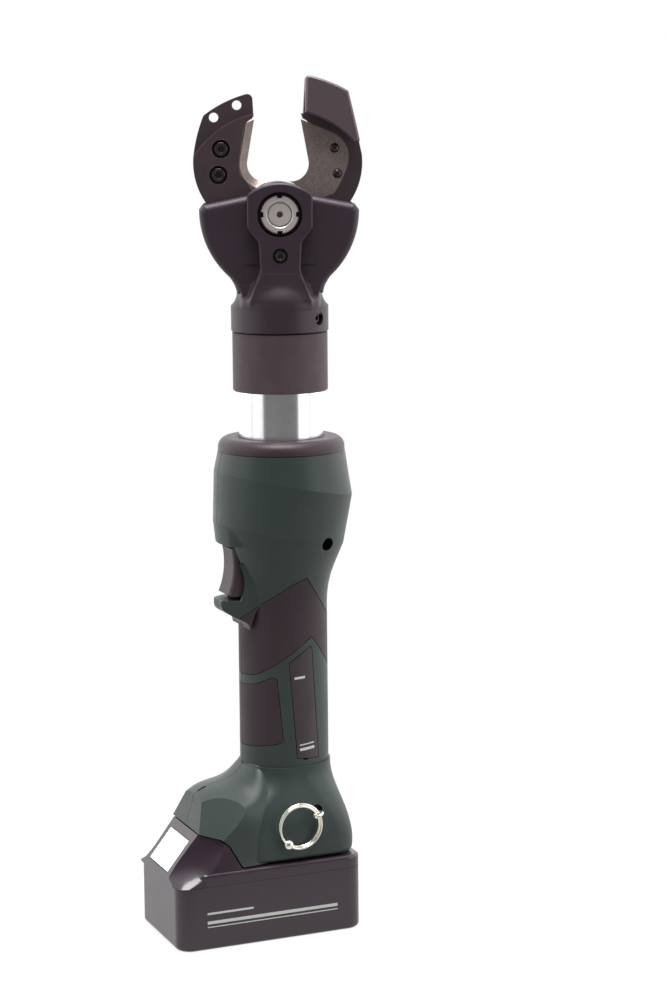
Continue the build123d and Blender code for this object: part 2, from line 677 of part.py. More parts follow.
def jaw_body(plane):
    """One jaw layer: hub, curved arm, cam tail, pocket for the blade and the screw seats."""
    with BuildPart() as body:
        with BuildSketch(plane.offset(-LAYER_TOP)):
            with BuildLine():
                tip = on_arc(STEP_R, TONGUE_EDGE_A)
                step = arc_about_pivot(STEP_R, angle_of(tip), angle_of(STEP_END))
                side_middle = shifted((JAW_OUT_A, JAW_OUT_B), JAW_SIDE)
                outer = ThreePointArc(step @ 1, side_middle, JAW_ROOT)
                hub_start = polar(JAW_HUB_R, JAW_HUB_ANGLES[0])
                root = ThreePointArc(outer @ 1, shifted(JAW_ROOT, JAW_ARMPIT), hub_start)
                Line(root @ 1, (0, 0))
                inner_start = polar(JAW_HUB_R, JAW_HUB_ANGLES[1])
                Line((0, 0), inner_start)
                inner_low = Line(inner_start, shifted(THROAT, THROAT_FOOT))
                back_edge = shifted(THROAT, THROAT_BACK)
                ThreePointArc(inner_low @ 1, shifted(THROAT, THROAT_BOW), back_edge)
                inner_edge = Line(back_edge, shifted(EDGE_TOP, TIP_BACK))
                tip_end = shifted(EDGE_TOP, TIP_END)
                inner_tip = ThreePointArc(inner_edge @ 1, shifted(EDGE_TOP, TIP_BOW), tip_end)
                Line(inner_tip @ 1, tip)
            make_face()
            Circle(JAW_HUB_R)
            add(cam_band(TAIL_R))
        extrude(amount=-JAW_T)
        with BuildSketch(plane):
            add(blade_outline(grow=PLAY / 2))
        extrude(amount=-LAYER_TOP - BLADE_T - SEAT, mode=Mode.SUBTRACT)
        with BuildSketch(plane):
            Circle(BOLT_R + FIT)
            add(cam_band(DRIVE_PIN_R + CAM_PLAY))
        extrude(amount=-LAYER_END, mode=Mode.SUBTRACT)
        with Locations([back_of(plane) * Pos(-a, b) for a, b in BLADE_SCREWS]):
            CounterBoreHole(BLADE_SCREW_R + SEAT, BLADE_SCREW_SINK_R, BLADE_SCREW_SINK_H, depth=JAW_T)
    return body.part


def blade(plane):
    """Shear blade with its ground bevel on the side away from the shear face."""
    with BuildPart() as steel:
        with BuildSketch(plane.offset(-LAYER_TOP)):
            add(blade_outline())
        extrude(amount=-BLADE_T)
        rear = steel.faces().sort_by(Axis(plane.origin, plane.z_dir))[0]
        edge_middle = ((THROAT[0] + EDGE_TOP[0]) / 2, (THROAT[1] + EDGE_TOP[1]) / 2)
        ground = [
            rear.edges().sort_by_distance(plane.from_local_coords((*middle, -LAYER_TOP - BLADE_T)))[0]
            for middle in (edge_middle, shifted(THROAT, BLADE_BOW))
        ]
        chamfer(ground, length=BLADE_T - BLADE_LAND)
        with Locations([plane.offset(-LAYER_TOP) * Pos(a, b) for a, b in BLADE_SCREWS]):
            Hole(BLADE_SCREW_R + SEAT, depth=BLADE_T)
    return steel.part


def blade_screws(plane):
    """Two button-head screws through the jaw, flush with the blade's shear face."""
    with BuildPart() as pair:
        for a, b in BLADE_SCREWS:
            seat = Plane(back_of(plane).offset(-BLADE_SCREW_SINK_H) * Pos(-a, b))
            shank = JAW_T - BLADE_SCREW_SINK_H - BLADE_SCREW_SHORT
            add(button_screw(
                seat, BLADE_SCREW_HEAD_R, BLADE_SCREW_HEAD_H, BLADE_SCREW_R, shank, BLADE_SCREW_SOCKET
            ))
    return pair.part


# Tongue jaw: front layer, with a thin tongue past the step arc
with BuildPart() as tongue_jaw:
    add(jaw_body(BACK))
    with BuildSketch(BACK.offset(-LAYER_TOP)):
        with BuildLine():
            root_r = STEP_R - STEP_LAP
            root_in = on_arc(root_r, TONGUE_EDGE_A)
            root_out = polar(root_r, angle_of(STEP_END) - TONGUE_TURN)
            top_in = on_arc(TONGUE_R, TONGUE_EDGE_A + TONGUE_LEAN)
            top_out = polar(TONGUE_R, TONGUE_TOP_ANGLE)
            Line(root_in, top_in)
            arc_about_pivot(TONGUE_R, angle_of(top_in), TONGUE_TOP_ANGLE)
            ThreePointArc(top_out, shifted((JAW_OUT_A, JAW_OUT_B), TONGUE_SIDE), STEP_END)
            Line(STEP_END, root_out)
            arc_about_pivot(root_r, angle_of(root_out), angle_of(root_in))
        make_face()
        fillet(vertices().sort_by(Axis.Y)[-2:], radius=TONGUE_CORNER)
    extrude(amount=-TONGUE_T)
    holes = [polar(TONGUE_HOLE_PCR, angle) for angle in TONGUE_HOLE_ANGLES]
    with Locations([BACK.offset(-LAYER_TOP) * Pos(*hole) for hole in holes]):
        Hole(TONGUE_HOLE_R, depth=TONGUE_T)
tongue_jaw.part.label = "tongue_jaw"
export_step(tongue_jaw.part, "parts/tongue_jaw.step")

# Guide jaw: rear layer, with a cap that reaches over the tongue's path
with BuildPart() as guide_jaw:
    add(jaw_body(FRONT))
    cap_top_in = on_arc(CAP_R, CAP_EDGE_A + CAP_LEAN)
    cap_top_out = polar(CAP_R, CAP_TOP_ANGLE)
    layers = (
        (-LAYER_TOP, -JAW_T, STEP_R - STEP_LAP, CAP_EDGE_A - CAP_LEAN, JAW_OUT_B),
        (-LAYER_TOP, JAW_T + SHEAR_GAP, TONGUE_R + 2 * PLAY, CAP_EDGE_A, JAW_OUT_B),
        (LAYER_TOP + TONGUE_T + PLAY, JAW_T - TONGUE_T - PLAY, CAP_INNER_R, CAP_EDGE_A, CAP_END_B),
    )
    for start, height, inner_r, edge_a, low_b in layers:
        with BuildSketch(FRONT.offset(start)):
            with BuildLine():
                Line((edge_a, JAW_OUT_B), cap_top_in)
                arc_about_pivot(CAP_R, angle_of(cap_top_in), angle_of(cap_top_out))
                ThreePointArc(cap_top_out, CAP_SIDE, STEP_END)
                Line(STEP_END, (edge_a, JAW_OUT_B))
            make_face()
            fillet(vertices().sort_by(Axis.Y)[-2:], radius=CAP_CORNER)
            Circle(inner_r, mode=Mode.SUBTRACT)
            with Locations((0, low_b)):
                Rectangle(4 * JAW_OUT_A, CAP_R, align=(Align.CENTER, Align.MAX), mode=Mode.SUBTRACT)
        extrude(amount=height)
    chamfer(guide_jaw.faces().sort_by(HEAD_AXIS)[-1].edges(), length=CAP_BEVEL)
guide_jaw.part.label = "guide_jaw"
export_step(guide_jaw.part, "parts/guide_jaw.step")

with BuildPart() as tongue_blade:
    add(blade(BACK))
tongue_blade.part.label = "tongue_blade"
export_step(tongue_blade.part, "parts/tongue_blade.step")

with BuildPart() as guide_blade:
    add(blade(FRONT))
guide_blade.part.label = "guide_blade"
export_step(guide_blade.part, "parts/guide_blade.step")

with BuildPart() as tongue_blade_screws:
    add(blade_screws(BACK))
tongue_blade_screws.part.label = "tongue_blade_screws"
export_step(tongue_blade_screws.part, "parts/tongue_blade_screws.step")

with BuildPart() as guide_blade_screws:
    add(blade_screws(FRONT))
guide_blade_screws.part.label = "guide_blade_screws"
export_step(guide_blade_screws.part, "parts/guide_blade_screws.step")

# Ram: round rod with a forked end that carries the drive pin
with BuildPart() as ram_rod:
    with BuildSketch(Plane.XY.offset(PISTON_TOP_Z)):
        Circle(ROD_R)
    extrude(amount=PIVOT_Z - PIN_DROP + CLEVIS_TOP - PISTON_TOP_Z)
    with BuildSketch(FRONT):
        for side in (-1, 1):
            with Locations((side * CLEVIS_U, SLOT_BOTTOM_W - STROKE)):
                Rectangle(
                    ROD_R, 2 * PIN_DROP, align=(Align.MIN if side > 0 else Align.MAX, Align.MIN)
                )
    extrude(amount=2 * ROD_R, both=True, mode=Mode.SUBTRACT)
    with BuildSketch(FRONT):
        with Locations((0, CLEVIS_FLOOR_W)):
            Rectangle(2 * ROD_R, 2 * PIN_DROP, align=(Align.CENTER, Align.MIN))
    extrude(amount=SLOT_V + PLAY, both=True, mode=Mode.SUBTRACT)
    with BuildSketch(FRONT):
        with Locations((0, -PIN_DROP)):
            Circle(DRIVE_PIN_R + SEAT)
    extrude(amount=2 * ROD_R, both=True, mode=Mode.SUBTRACT)
    with BuildSketch(Plane.XY.offset(PISTON_TOP_Z)):
        Circle(STUD_R)
    extrude(amount=-PISTON_H)
ram_rod.part.label = "ram_rod"
export_step(ram_rod.part, "parts/ram_rod.step")

with BuildPart() as drive_pin:
    with BuildSketch(FRONT):
        with Locations((0, -PIN_DROP)):
            Circle(DRIVE_PIN_R)
    extrude(amount=sqrt(CLEVIS_V**2 - DRIVE_PIN_R**2) - PLAY, both=True)
drive_pin.part.label = "drive_pin"
export_step(drive_pin.part, "parts/drive_pin.step")

# Piston on the rod's stud, with a seal in its groove
with BuildPart() as ram_piston:
    with BuildSketch(Plane.XZ):
        with BuildLine():
            low = PISTON_TOP_Z - PISTON_H
            groove_z = low + (PISTON_H - SEAL_H) / 2
            piston_r = TUBE_BORE_R - FIT
            Polyline(
                (STUD_R + SEAT, low),
                (piston_r, low),
                (piston_r, groove_z),
                (piston_r - SEAL_DEPTH, groove_z),
                (piston_r - SEAL_DEPTH, groove_z + SEAL_H),
                (piston_r, groove_z + SEAL_H),
                (piston_r, PISTON_TOP_Z),
                (STUD_R + SEAT, PISTON_TOP_Z),
                close=True,
            )
        make_face()
    revolve(axis=Axis.Z)
ram_piston.part.label = "ram_piston"
export_step(ram_piston.part, "parts/ram_piston.step")

with BuildPart() as piston_seal:
    with BuildSketch(Plane.XY.offset(groove_z + SEAT)):
        Circle(piston_r)
        Circle(piston_r - SEAL_DEPTH + SEAT, mode=Mode.SUBTRACT)
    extrude(amount=SEAL_H - 2 * SEAT)
piston_seal.part.label = "piston_seal"
export_step(piston_seal.part, "parts/piston_seal.step")

# Hydraulic cylinder: bright tube with a groove for the swivel's retaining ring
with BuildPart() as cylinder_tube:
    with BuildSketch(Plane.XY.offset(TUBE_BOTTOM_Z)):
        Circle(TUBE_R)
        Circle(TUBE_BORE_R, mode=Mode.SUBTRACT)
    extrude(amount=TUBE_TOP_Z - TUBE_BOTTOM_Z)
    with BuildSketch(Plane.XY.offset(RING_Z)):
        Circle(TUBE_R + PLAY)
        Circle(TUBE_R - RING_SINK, mode=Mode.SUBTRACT)
    extrude(amount=RING_H, mode=Mode.SUBTRACT)
cylinder_tube.part.label = "cylinder_tube"
export_step(cylinder_tube.part, "parts/cylinder_tube.step")

with BuildPart() as retaining_ring:
    with BuildSketch(Plane.XY.offset(RING_Z + FIT)):
        Circle(TUBE_R + RING_PROUD)
        Circle(TUBE_R - RING_SINK + SEAT, mode=Mode.SUBTRACT)
    extrude(amount=RING_H - 2 * FIT)
retaining_ring.part.label = "retaining_ring"
export_step(retaining_ring.part, "parts/retaining_ring.step")

with BuildPart() as rod_guide:
    with BuildSketch(Plane.XY.offset(TUBE_TOP_Z - GUIDE_H)):
        Circle(TUBE_BORE_R - SEAT)
        Circle(ROD_R + FIT, mode=Mode.SUBTRACT)
    extrude(amount=GUIDE_H)
rod_guide.part.label = "rod_guide"
export_step(rod_guide.part, "parts/rod_guide.step")

# Return spring round the rod, between the piston and the rod guide
with BuildPart() as ram_spring:
    spring_low = PISTON_TOP_Z + SPRING_WIRE / 2 + SEAT
    spring_height = TUBE_TOP_Z - GUIDE_H - PISTON_TOP_Z - SPRING_WIRE - 2 * SEAT
    with BuildLine() as spring_path:
        spring_r = (ROD_R + TUBE_BORE_R) / 2
        Helix(spring_height / SPRING_TURNS, spring_height, spring_r, center=(0, 0, spring_low))
    with BuildSketch(Plane(origin=spring_path.line @ 0, z_dir=spring_path.line % 0)):
        Circle(SPRING_WIRE / 2)
    sweep(is_frenet=True)
ram_spring.part.label = "ram_spring"
export_step(ram_spring.part, "parts/ram_spring.step")

# Swivel collar: sleeve screwed to the yoke, turning on the tube
with BuildPart() as swivel_collar:
    with BuildSketch(Plane.XZ):
        with BuildLine():
            Polyline(
                (TUBE_R + FIT, COLLAR_BOTTOM_Z),
                (COLLAR_R - COLLAR_CHAMFER, COLLAR_BOTTOM_Z),
                (COLLAR_R, COLLAR_BOTTOM_Z + COLLAR_CHAMFER),
                (COLLAR_R, NECK_BOTTOM_Z - COLLAR_CHAMFER),
                (COLLAR_R - COLLAR_CHAMFER, NECK_BOTTOM_Z),
                (TUBE_R + FIT, NECK_BOTTOM_Z),
                (TUBE_R + FIT, RING_Z + RING_H + FIT),
                (TUBE_R + RING_PROUD + FIT, RING_Z + RING_H + FIT),
                (TUBE_R + RING_PROUD + FIT, RING_Z - FIT),
                (TUBE_R + FIT, RING_Z - FIT),
                close=True,
            )
        make_face()
    revolve(axis=Axis.Z)
swivel_collar.part.label = "swivel_collar"
export_step(swivel_collar.part, "parts/swivel_collar.step")


def oval_plane(front, back):
    """Plane through the front and back points of a handle section, across the handle."""
    x_dir = Vector(back[0] - front[0], 0, back[1] - front[1])
    origin = ((front[0] + back[0]) / 2, 0, (front[1] + back[1]) / 2)
    return Plane(origin=origin, x_dir=x_dir, z_dir=Vector(0, -1, 0).cross(x_dir) * -1)


def between(first, second, share):
    """Oval part of the way from one oval to the next."""
    front, back = (
        tuple(a + (b - a) * share for a, b in zip(start, end)) for start, end in zip(first[:2], second[:2])
    )
    return front, back, first[2] + (second[2] - first[2]) * share


# Ovals on a parabola that rounds the corner between the housing's slope and the grip
BLEND_UP = between(GRIP_TOP, LOWER_CREASE, GRIP_BLEND)
BLEND_DOWN = between(GRIP_TOP, GRIP_BOTTOM, GRIP_BLEND_LOW)
BLEND_SHARES = [step / (GRIP_BLEND_STEPS - 1) for step in range(GRIP_BLEND_STEPS)]
BLEND_OVALS = [
    between(between(BLEND_UP, GRIP_TOP, share), between(GRIP_TOP, BLEND_DOWN, share), share)
    for share in BLEND_SHARES
]
HANDLE_OVALS = (NOSE_OVAL, UPPER_CREASE, LOWER_CREASE, *BLEND_OVALS, GRIP_BOTTOM)


def handle_form(inset):
    """Handle from the nose to the foot, drawn in by a wall thickness."""
    with BuildPart() as form:
        for front, back, half_width in HANDLE_OVALS:
            half_depth = hypot(back[0] - front[0], back[1] - front[1]) / 2
            with BuildSketch(oval_plane(front, back)):
                Ellipse(half_depth - inset, half_width - inset)
        loft(ruled=True)
    return form.part


HANDLE_OUTER = handle_form(0)
HANDLE_INNER = handle_form(WALL)

# Outlines on the side view, as (x, z); the inlays run round the grip
REACH = 60.0
FRONT_X = GRIP_TOP[0][0] - INLAY_REACH
BACK_X = GRIP_TOP[1][0] + INLAY_REACH
BAND_OUTLINE = (
    (FRONT_X, 181.0), (-23.8, 190.6), (-5.4, 204.4), (4.4, 208.6), (BACK_X, 174.0),
    (BACK_X, 144.6), (8.4, 173.0), (-15.0, 156.4), (-22.2, 151.8), (FRONT_X, 149.0),
)
PAD_OUTLINE = ((FRONT_X, 143.6), (-22.0, 146.8), (-12.6, 152.6), (-9.2, 112.0), (FRONT_X, 107.8))
LABEL_OUTLINE = ((7.4, 168.3), (-6.2, 159.0), (-1.9, 102.3), (13.2, 100.9), (8.8, 166.6))

# Heights that follow from the drive train
GEAR_LOW_Z = MOTOR_LOW_Z + MOTOR_H + SEAT
GEAR_TOP_Z = GEAR_LOW_Z + GEAR_H
PUMP_LOW_Z = GEAR_TOP_Z + SEAT
PUMP_R = TUBE_R + PUMP_SOCKET_WALL
PUMP_TOP_Z = TUBE_BOTTOM_Z + PUMP_SOCKET_H
ECCENTRIC_Z = PUMP_LOW_Z + 2 * PLAY
ECCENTRIC_ROOM_R = ECCENTRIC_R + ECCENTRIC_THROW + PLAY
PLUNGER_Z = ECCENTRIC_Z + ECCENTRIC_H / 2
FOOT_TOP_Z = FOOT_RINGS[0][0]
FOOT_BOTTOM_Z = FOOT_RINGS[-1][0]
ARCH_END_X = FOOT_RINGS[-1][1]
LAMP_PLANE = Plane(
    origin=(LAMP_SPOT[0], 0, LAMP_SPOT[1]),
    x_dir=(0, 1, 0),
    z_dir=(-sin(radians(LAMP_TILT)), 0, cos(radians(LAMP_TILT))),
)

# Nose ring: closes the housing round the tube
with BuildPart() as nose_ring:
    with BuildSketch(Plane.XZ):
        with BuildLine():
            nose_z = NOSE_OVAL[0][1] + SEAT
            nose_r = NOSE_OVAL[2]
            skirt_r = nose_r - WALL - FIT
            side_top = (nose_r, nose_z + NOSE_SIDE_H)
            Polyline((skirt_r, nose_z - NOSE_LIP), (skirt_r, nose_z), (nose_r, nose_z), side_top)
            TangentArc(side_top, (NOSE_EDGE_R, NOSE_TOP_Z), tangent=(0, 1))
            Polyline(
                (NOSE_EDGE_R, NOSE_TOP_Z),
                (TUBE_R + SEAT + NOSE_BEVEL, NOSE_TOP_Z),
                (TUBE_R + SEAT, NOSE_TOP_Z - NOSE_BEVEL),
                (TUBE_R + SEAT, nose_z - NOSE_LIP),
                (skirt_r, nose_z - NOSE_LIP),
            )
        make_face()
    revolve(axis=Axis.Z)
nose_ring.part.label = "nose_ring"
export_step(nose_ring.part, "parts/nose_ring.step")

# Foot body: rings drawn from the grip's oval to a rounded rectangle
with BuildPart() as foot:
    for z, front_x, back_x, half_w, corner in FOOT_RINGS:
        with BuildSketch(Plane.XY.offset(z)):
            with Locations(((front_x + back_x) / 2, 0)):
                RectangleRounded(back_x - front_x, 2 * half_w, corner)
    loft()
    fillet(foot.faces().sort_by(Axis.Z)[0].edges(), radius=FOOT_ROUND)


def toe_side(ridge_z, shoulder_z, inset):
    """Points of a toe section from its ridge down one side, as (y, z)."""
    roof_w = TOE_SHOULDER_W - inset
    drop = ridge_z - shoulder_z
    roof = [(share * roof_w, ridge_z - drop * share**TOE_ROUNDING) for share in TOE_SHARES]
    low_z, low_w = FOOT_RINGS[-1][0], FOOT_RINGS[-1][3]
    high_z, high_w = FOOT_RINGS[-2][0], FOOT_RINGS[-2][3]
    middle_w = low_w + (high_w - low_w) * (TOE_SIDE_Z - low_z) / (high_z - low_z)
    return [*roof, (middle_w - inset, TOE_SIDE_Z), (low_w - inset, FOOT_BOTTOM_Z)]


def facet_plane(side):
    """Plane of the bevelled face on one side of the toe, facing out of the toe."""
    brow, tip, back = (Vector(x, -side * y, z) for x, y, z in (FACET_BROW, FACET_TIP, FACET_BACK))
    return Plane(origin=brow, x_dir=tip - brow, z_dir=(tip - brow).cross(back - brow) * -side)


# Toe: arched over the battery's tower, with a bevelled face on each side of its front
with BuildPart() as toe:
    for x, ridge_z, shoulder_z, inset in TOE_RINGS:
        with BuildSketch(Plane.YZ.offset(x)):
            with BuildLine():
                right = toe_side(ridge_z, shoulder_z, inset)
                left = [(-y, z) for y, z in reversed(right)]
                Spline(*left, (0, ridge_z), *right)
                Line(right[-1], left[0])
            make_face()
    loft()
    with BuildSketch(Plane.XZ):
        with BuildLine():
            Polyline(
                TOE_PEAK, TOE_TIP, ARCH_TOP, ARCH_TURN, (ARCH_END_X, FOOT_BOTTOM_Z),
                (-2 * REACH, FOOT_BOTTOM_Z), (-2 * REACH, TOE_PEAK[1]), close=True,
            )
        make_face()
    extrude(amount=REACH, both=True, mode=Mode.SUBTRACT)
    for side in (-1, 1):
        split(bisect_by=facet_plane(side), keep=Keep.BOTTOM)

# Hollow of the housing, less the ribs, bosses and cheeks that stay in it
with BuildPart() as hollow:
    add(HANDLE_INNER)
    for z in MOTOR_RIBS:
        with BuildSketch(Plane.XY.offset(z)):
            Circle(REACH)
            Circle(MOTOR_R + FIT, mode=Mode.SUBTRACT)
        extrude(amount=RIB_T, mode=Mode.SUBTRACT)
    with BuildSketch(Plane.XZ):
        with Locations(*SCREW_SPOTS):
            Circle(SCREW_BOSS_R)
    extrude(amount=REACH, both=True, mode=Mode.SUBTRACT)
    cheek_y = TRIGGER_W / 2 + PLAY
    for side in (-1, 1):
        with BuildSketch(Plane.XZ.offset(side * cheek_y)):
            with Locations(TRIGGER_PIVOT):
                Rectangle(CHEEK_L, CHEEK_H)
        extrude(amount=side * CHEEK_T, mode=Mode.SUBTRACT)
    with BuildSketch(Plane.XY.offset(FOOT_TOP_Z)):
        oval_x = (GRIP_BOTTOM[1][0] - GRIP_BOTTOM[0][0]) / 2
        with Locations(((GRIP_BOTTOM[1][0] + GRIP_BOTTOM[0][0]) / 2, 0)):
            Ellipse(oval_x - WALL, GRIP_BOTTOM[2] - WALL)
    extrude(amount=CAVITY_ROOF_Z - FOOT_TOP_Z - WALL)
    with BuildSketch(Plane.XY.offset(CAVITY_FLOOR_Z)):
        with Locations(((CAVITY_FRONT_X + CAVITY_BACK_X) / 2, 0)):
            RectangleRounded(CAVITY_BACK_X - CAVITY_FRONT_X, 2 * CAVITY_HALF_W, 2 * WALL)
    extrude(amount=CAVITY_ROOF_Z - CAVITY_FLOOR_Z)


def skin(outline, corner, depth, side, gap=0.0):
    """Piece of the handle's skin inside a side outline: side 1 is the left half, -1 the right half."""
    with BuildPart() as piece:
        with BuildSketch(Plane.XZ.offset(side * SEAM / 2)):
            with BuildLine():
                Polyline(*outline, close=True)
            make_face()
            fillet(vertices(), radius=corner)
            if gap:
                offset(amount=-gap)
        extrude(amount=side * REACH)
        add(HANDLE_OUTER, mode=Mode.INTERSECT)
        add(handle_form(depth), mode=Mode.SUBTRACT)
    return piece.part


# Finger hook: oval in plan, so that it runs into the grip
with BuildPart() as hook:
    with BuildSketch(Plane.XZ):
        with BuildLine():
            Spline(HOOK_TIP, *HOOK_UNDER, HOOK_ROOT, tangents=((0, -1), (0, -1)))
            Polyline(HOOK_ROOT, *HOOK_BACK, (HOOK_BACK[-1][0], OPENING_TOP[1]), OPENING_TOP)
            ThreePointArc(OPENING_TOP, OPENING_MIDDLE, (OPENING_LOW_X, HOOK_TOP_Z))
            Polyline((OPENING_LOW_X, HOOK_TOP_Z), (HOOK_TIP[0], HOOK_TOP_Z), HOOK_TIP)
        make_face()
        fillet(vertices().sort_by(Axis.X)[:2].sort_by(Axis.Y)[-1], radius=HOOK_ROUND)
    extrude(amount=HOOK_PLAN[1], both=True)
    with BuildSketch(Plane.XY.offset(HOOK_ROOT[1])):
        Ellipse(*HOOK_PLAN)
    extrude(amount=OPENING_TOP[1] - HOOK_ROOT[1], mode=Mode.INTERSECT)

# Housing: handle, foot, toe and finger hook in one hollow form, before it is parted
with BuildPart() as housing:
    add(HANDLE_OUTER)
    add(foot.part)
    add(toe.part)
    add(hook.part)
    add(hollow.part, mode=Mode.SUBTRACT)
    with BuildSketch(Plane.XZ):
        with Locations((OPENING_BACK_X, HOOK_TOP_Z)):
            opening_h = TRIGGER_TOP_Z + TRIGGER_ROOM - HOOK_TOP_Z
            Rectangle(REACH, opening_h, align=(Align.MAX, Align.MIN))
    extrude(amount=TRIGGER_W / 2 + TRIGGER_ROOM, both=True, mode=Mode.SUBTRACT)
    for half_w, low_z, top_z in (
        (RAIL_NECK_W / 2 + PLAY, FOOT_BOTTOM_Z, RAIL_NECK_Z),
        (RAIL_HEAD_W / 2 + PLAY, RAIL_NECK_Z - PLAY, RAIL_TOP_Z + PLAY),
    ):
        with BuildSketch(Plane.YZ.offset(RAIL_BACK_X + PLAY)):
            with Locations((0, low_z)):
                Rectangle(2 * half_w, top_z - low_z, align=(Align.CENTER, Align.MIN))
        extrude(amount=-2 * REACH, mode=Mode.SUBTRACT)
    with BuildSketch(Plane.XY.offset(RAIL_TOP_Z)):
        with Locations((TERMINAL_X, 0)):
            Rectangle(TERMINAL_L + 2 * SEAT, TERMINAL_W + 2 * SEAT)
    extrude(amount=CAVITY_FLOOR_Z - RAIL_TOP_Z + SEAT, mode=Mode.SUBTRACT)
    with BuildSketch(LAMP_PLANE.offset(-LAMP_SINK - LAMP_T)):
        SlotOverall(LAMP_SLOT[0] + 2 * SEAT, LAMP_SLOT[1] + 2 * SEAT, rotation=90)
    extrude(amount=2 * LAMP_T, mode=Mode.SUBTRACT)
    with BuildSketch(Plane.XZ):
        with Locations(TRIGGER_PIVOT):
            Circle(TRIGGER_PIN_R + SEAT)
    extrude(amount=cheek_y + CHEEK_T + SEAT, both=True, mode=Mode.SUBTRACT)
    for side in (-1, 1):
        add(skin(BAND_OUTLINE, BAND_CORNER, GRIP_T + SEAT, side), mode=Mode.SUBTRACT)
        add(skin(PAD_OUTLINE, PAD_CORNER, GRIP_T + SEAT, side), mode=Mode.SUBTRACT)

# Left half: screw wells, label recess and the hole for the lanyard eye
EYE = (
    RING_CENTRE[0] + RING_MEAN_R * cos(radians(RING_EYE_ANGLE)),
    RING_CENTRE[1] + RING_MEAN_R * sin(radians(RING_EYE_ANGLE)),
)
EYE_HOLE = (EYE[0] + EYE_HOLE_SHIFT, EYE[1] + EYE_HOLE_SHIFT / 2)
with BuildPart() as left_shell:
    add(housing.part)
    split(bisect_by=Plane.XZ.offset(SEAM / 2), keep=Keep.TOP)
    add(skin(LABEL_OUTLINE, LABEL_CORNER, LABEL_T + SEAT, 1), mode=Mode.SUBTRACT)
    with BuildSketch(Plane.XZ):
        with Locations(*SCREW_SPOTS):
            Circle(SCREW_R + SEAT)
    extrude(amount=REACH, mode=Mode.SUBTRACT)
    with BuildSketch(Plane.XZ.offset(SCREW_SEAT_Y)):
        with Locations(*SCREW_SPOTS):
            Circle(SCREW_WELL_R)
    extrude(amount=REACH, mode=Mode.SUBTRACT)
    with BuildSketch(Plane.XZ.offset(-EYE_HOLE_Y)):
        with Locations(EYE_HOLE):
            Circle(EYE_HOLE_R)
    extrude(amount=REACH, mode=Mode.SUBTRACT)
left_shell.part.label = "left_shell"
export_step(left_shell.part, "parts/left_shell.step")

# Right half: blind holes for the screw threads
with BuildPart() as right_shell:
    add(housing.part)
    split(bisect_by=Plane.XZ.offset(-SEAM / 2), keep=Keep.BOTTOM)
    with BuildSketch(Plane.XZ):
        with Locations(*SCREW_SPOTS):
            Circle(SCREW_R + SEAT)
    extrude(amount=-SCREW_GRIP - PLAY, mode=Mode.SUBTRACT)
right_shell.part.label = "right_shell"
export_step(right_shell.part, "parts/right_shell.step")

# Rubber inlays and the plain label plate
with BuildPart() as grip_band_left:
    add(skin(BAND_OUTLINE, BAND_CORNER, GRIP_T, 1, INLAY_GAP))
grip_band_left.part.label = "grip_band_left"
export_step(grip_band_left.part, "parts/grip_band_left.step")

with BuildPart() as grip_band_right:
    add(skin(BAND_OUTLINE, BAND_CORNER, GRIP_T, -1, INLAY_GAP))
grip_band_right.part.label = "grip_band_right"
export_step(grip_band_right.part, "parts/grip_band_right.step")

with BuildPart() as front_pad_left:
    add(skin(PAD_OUTLINE, PAD_CORNER, GRIP_T, 1, INLAY_GAP))
front_pad_left.part.label = "front_pad_left"
export_step(front_pad_left.part, "parts/front_pad_left.step")

with BuildPart() as front_pad_right:
    add(skin(PAD_OUTLINE, PAD_CORNER, GRIP_T, -1, INLAY_GAP))
front_pad_right.part.label = "front_pad_right"
export_step(front_pad_right.part, "parts/front_pad_right.step")

with BuildPart() as label_plate:
    add(skin(LABEL_OUTLINE, LABEL_CORNER, LABEL_T, 1, INLAY_GAP))
label_plate.part.label = "label_plate"
export_step(label_plate.part, "parts/label_plate.step")

with BuildPart() as housing_screws:
    for x, z in SCREW_SPOTS:
        seat = Plane(Plane.XZ.offset(SCREW_SEAT_Y + SEAT) * Pos(x, z))
        add(button_screw(seat, SCREW_HEAD_R, SCREW_HEAD_H, SCREW_R, SCREW_SEAT_Y + SCREW_GRIP, SCREW_R))
housing_screws.part.label = "housing_screws"
export_step(housing_screws.part, "parts/housing_screws.step")

# Toe lamp: small lens held between the halves
with BuildPart() as toe_lamp:
    with BuildSketch(LAMP_PLANE.offset(-LAMP_SINK)):
        SlotOverall(*LAMP_SLOT, rotation=90)
    extrude(amount=SEAT - LAMP_T)
toe_lamp.part.label = "toe_lamp"
export_step(toe_lamp.part, "parts/toe_lamp.step")

# Trigger: curved finger face, hung on a pin near its top
with BuildPart() as trigger:
    with BuildSketch(Plane.XZ):
        with BuildLine():
            ThreePointArc(*TRIGGER_FRONT)
            Polyline(
                TRIGGER_FRONT[2],
                (TRIGGER_FRONT[2][0] + TRIGGER_TOE, TRIGGER_LOW_Z),
                (TRIGGER_LOW_BACK[0] - TRIGGER_HEEL, TRIGGER_LOW_Z),
                TRIGGER_LOW_BACK,
                (TRIGGER_BACK_X, TRIGGER_LOW_BACK[1] + TRIGGER_STEP),
                (TRIGGER_BACK_X, TRIGGER_TOP_Z),
                (TRIGGER_FRONT[0][0] + TRIGGER_HEEL, TRIGGER_TOP_Z),
                TRIGGER_FRONT[0],
            )
        make_face()
    extrude(amount=TRIGGER_W / 2, both=True)
    finger = trigger.faces().filter_by(GeomType.CYLINDER).sort_by(Axis.X)[0]
    fillet(finger.edges().filter_by(GeomType.CIRCLE), radius=TRIGGER_ROUND)
    with BuildSketch(Plane.XZ):
        with Locations(TRIGGER_PIVOT):
            Circle(TRIGGER_PIN_R + FIT)
    extrude(amount=TRIGGER_W, both=True, mode=Mode.SUBTRACT)
trigger.part.label = "trigger"
export_step(trigger.part, "parts/trigger.step")

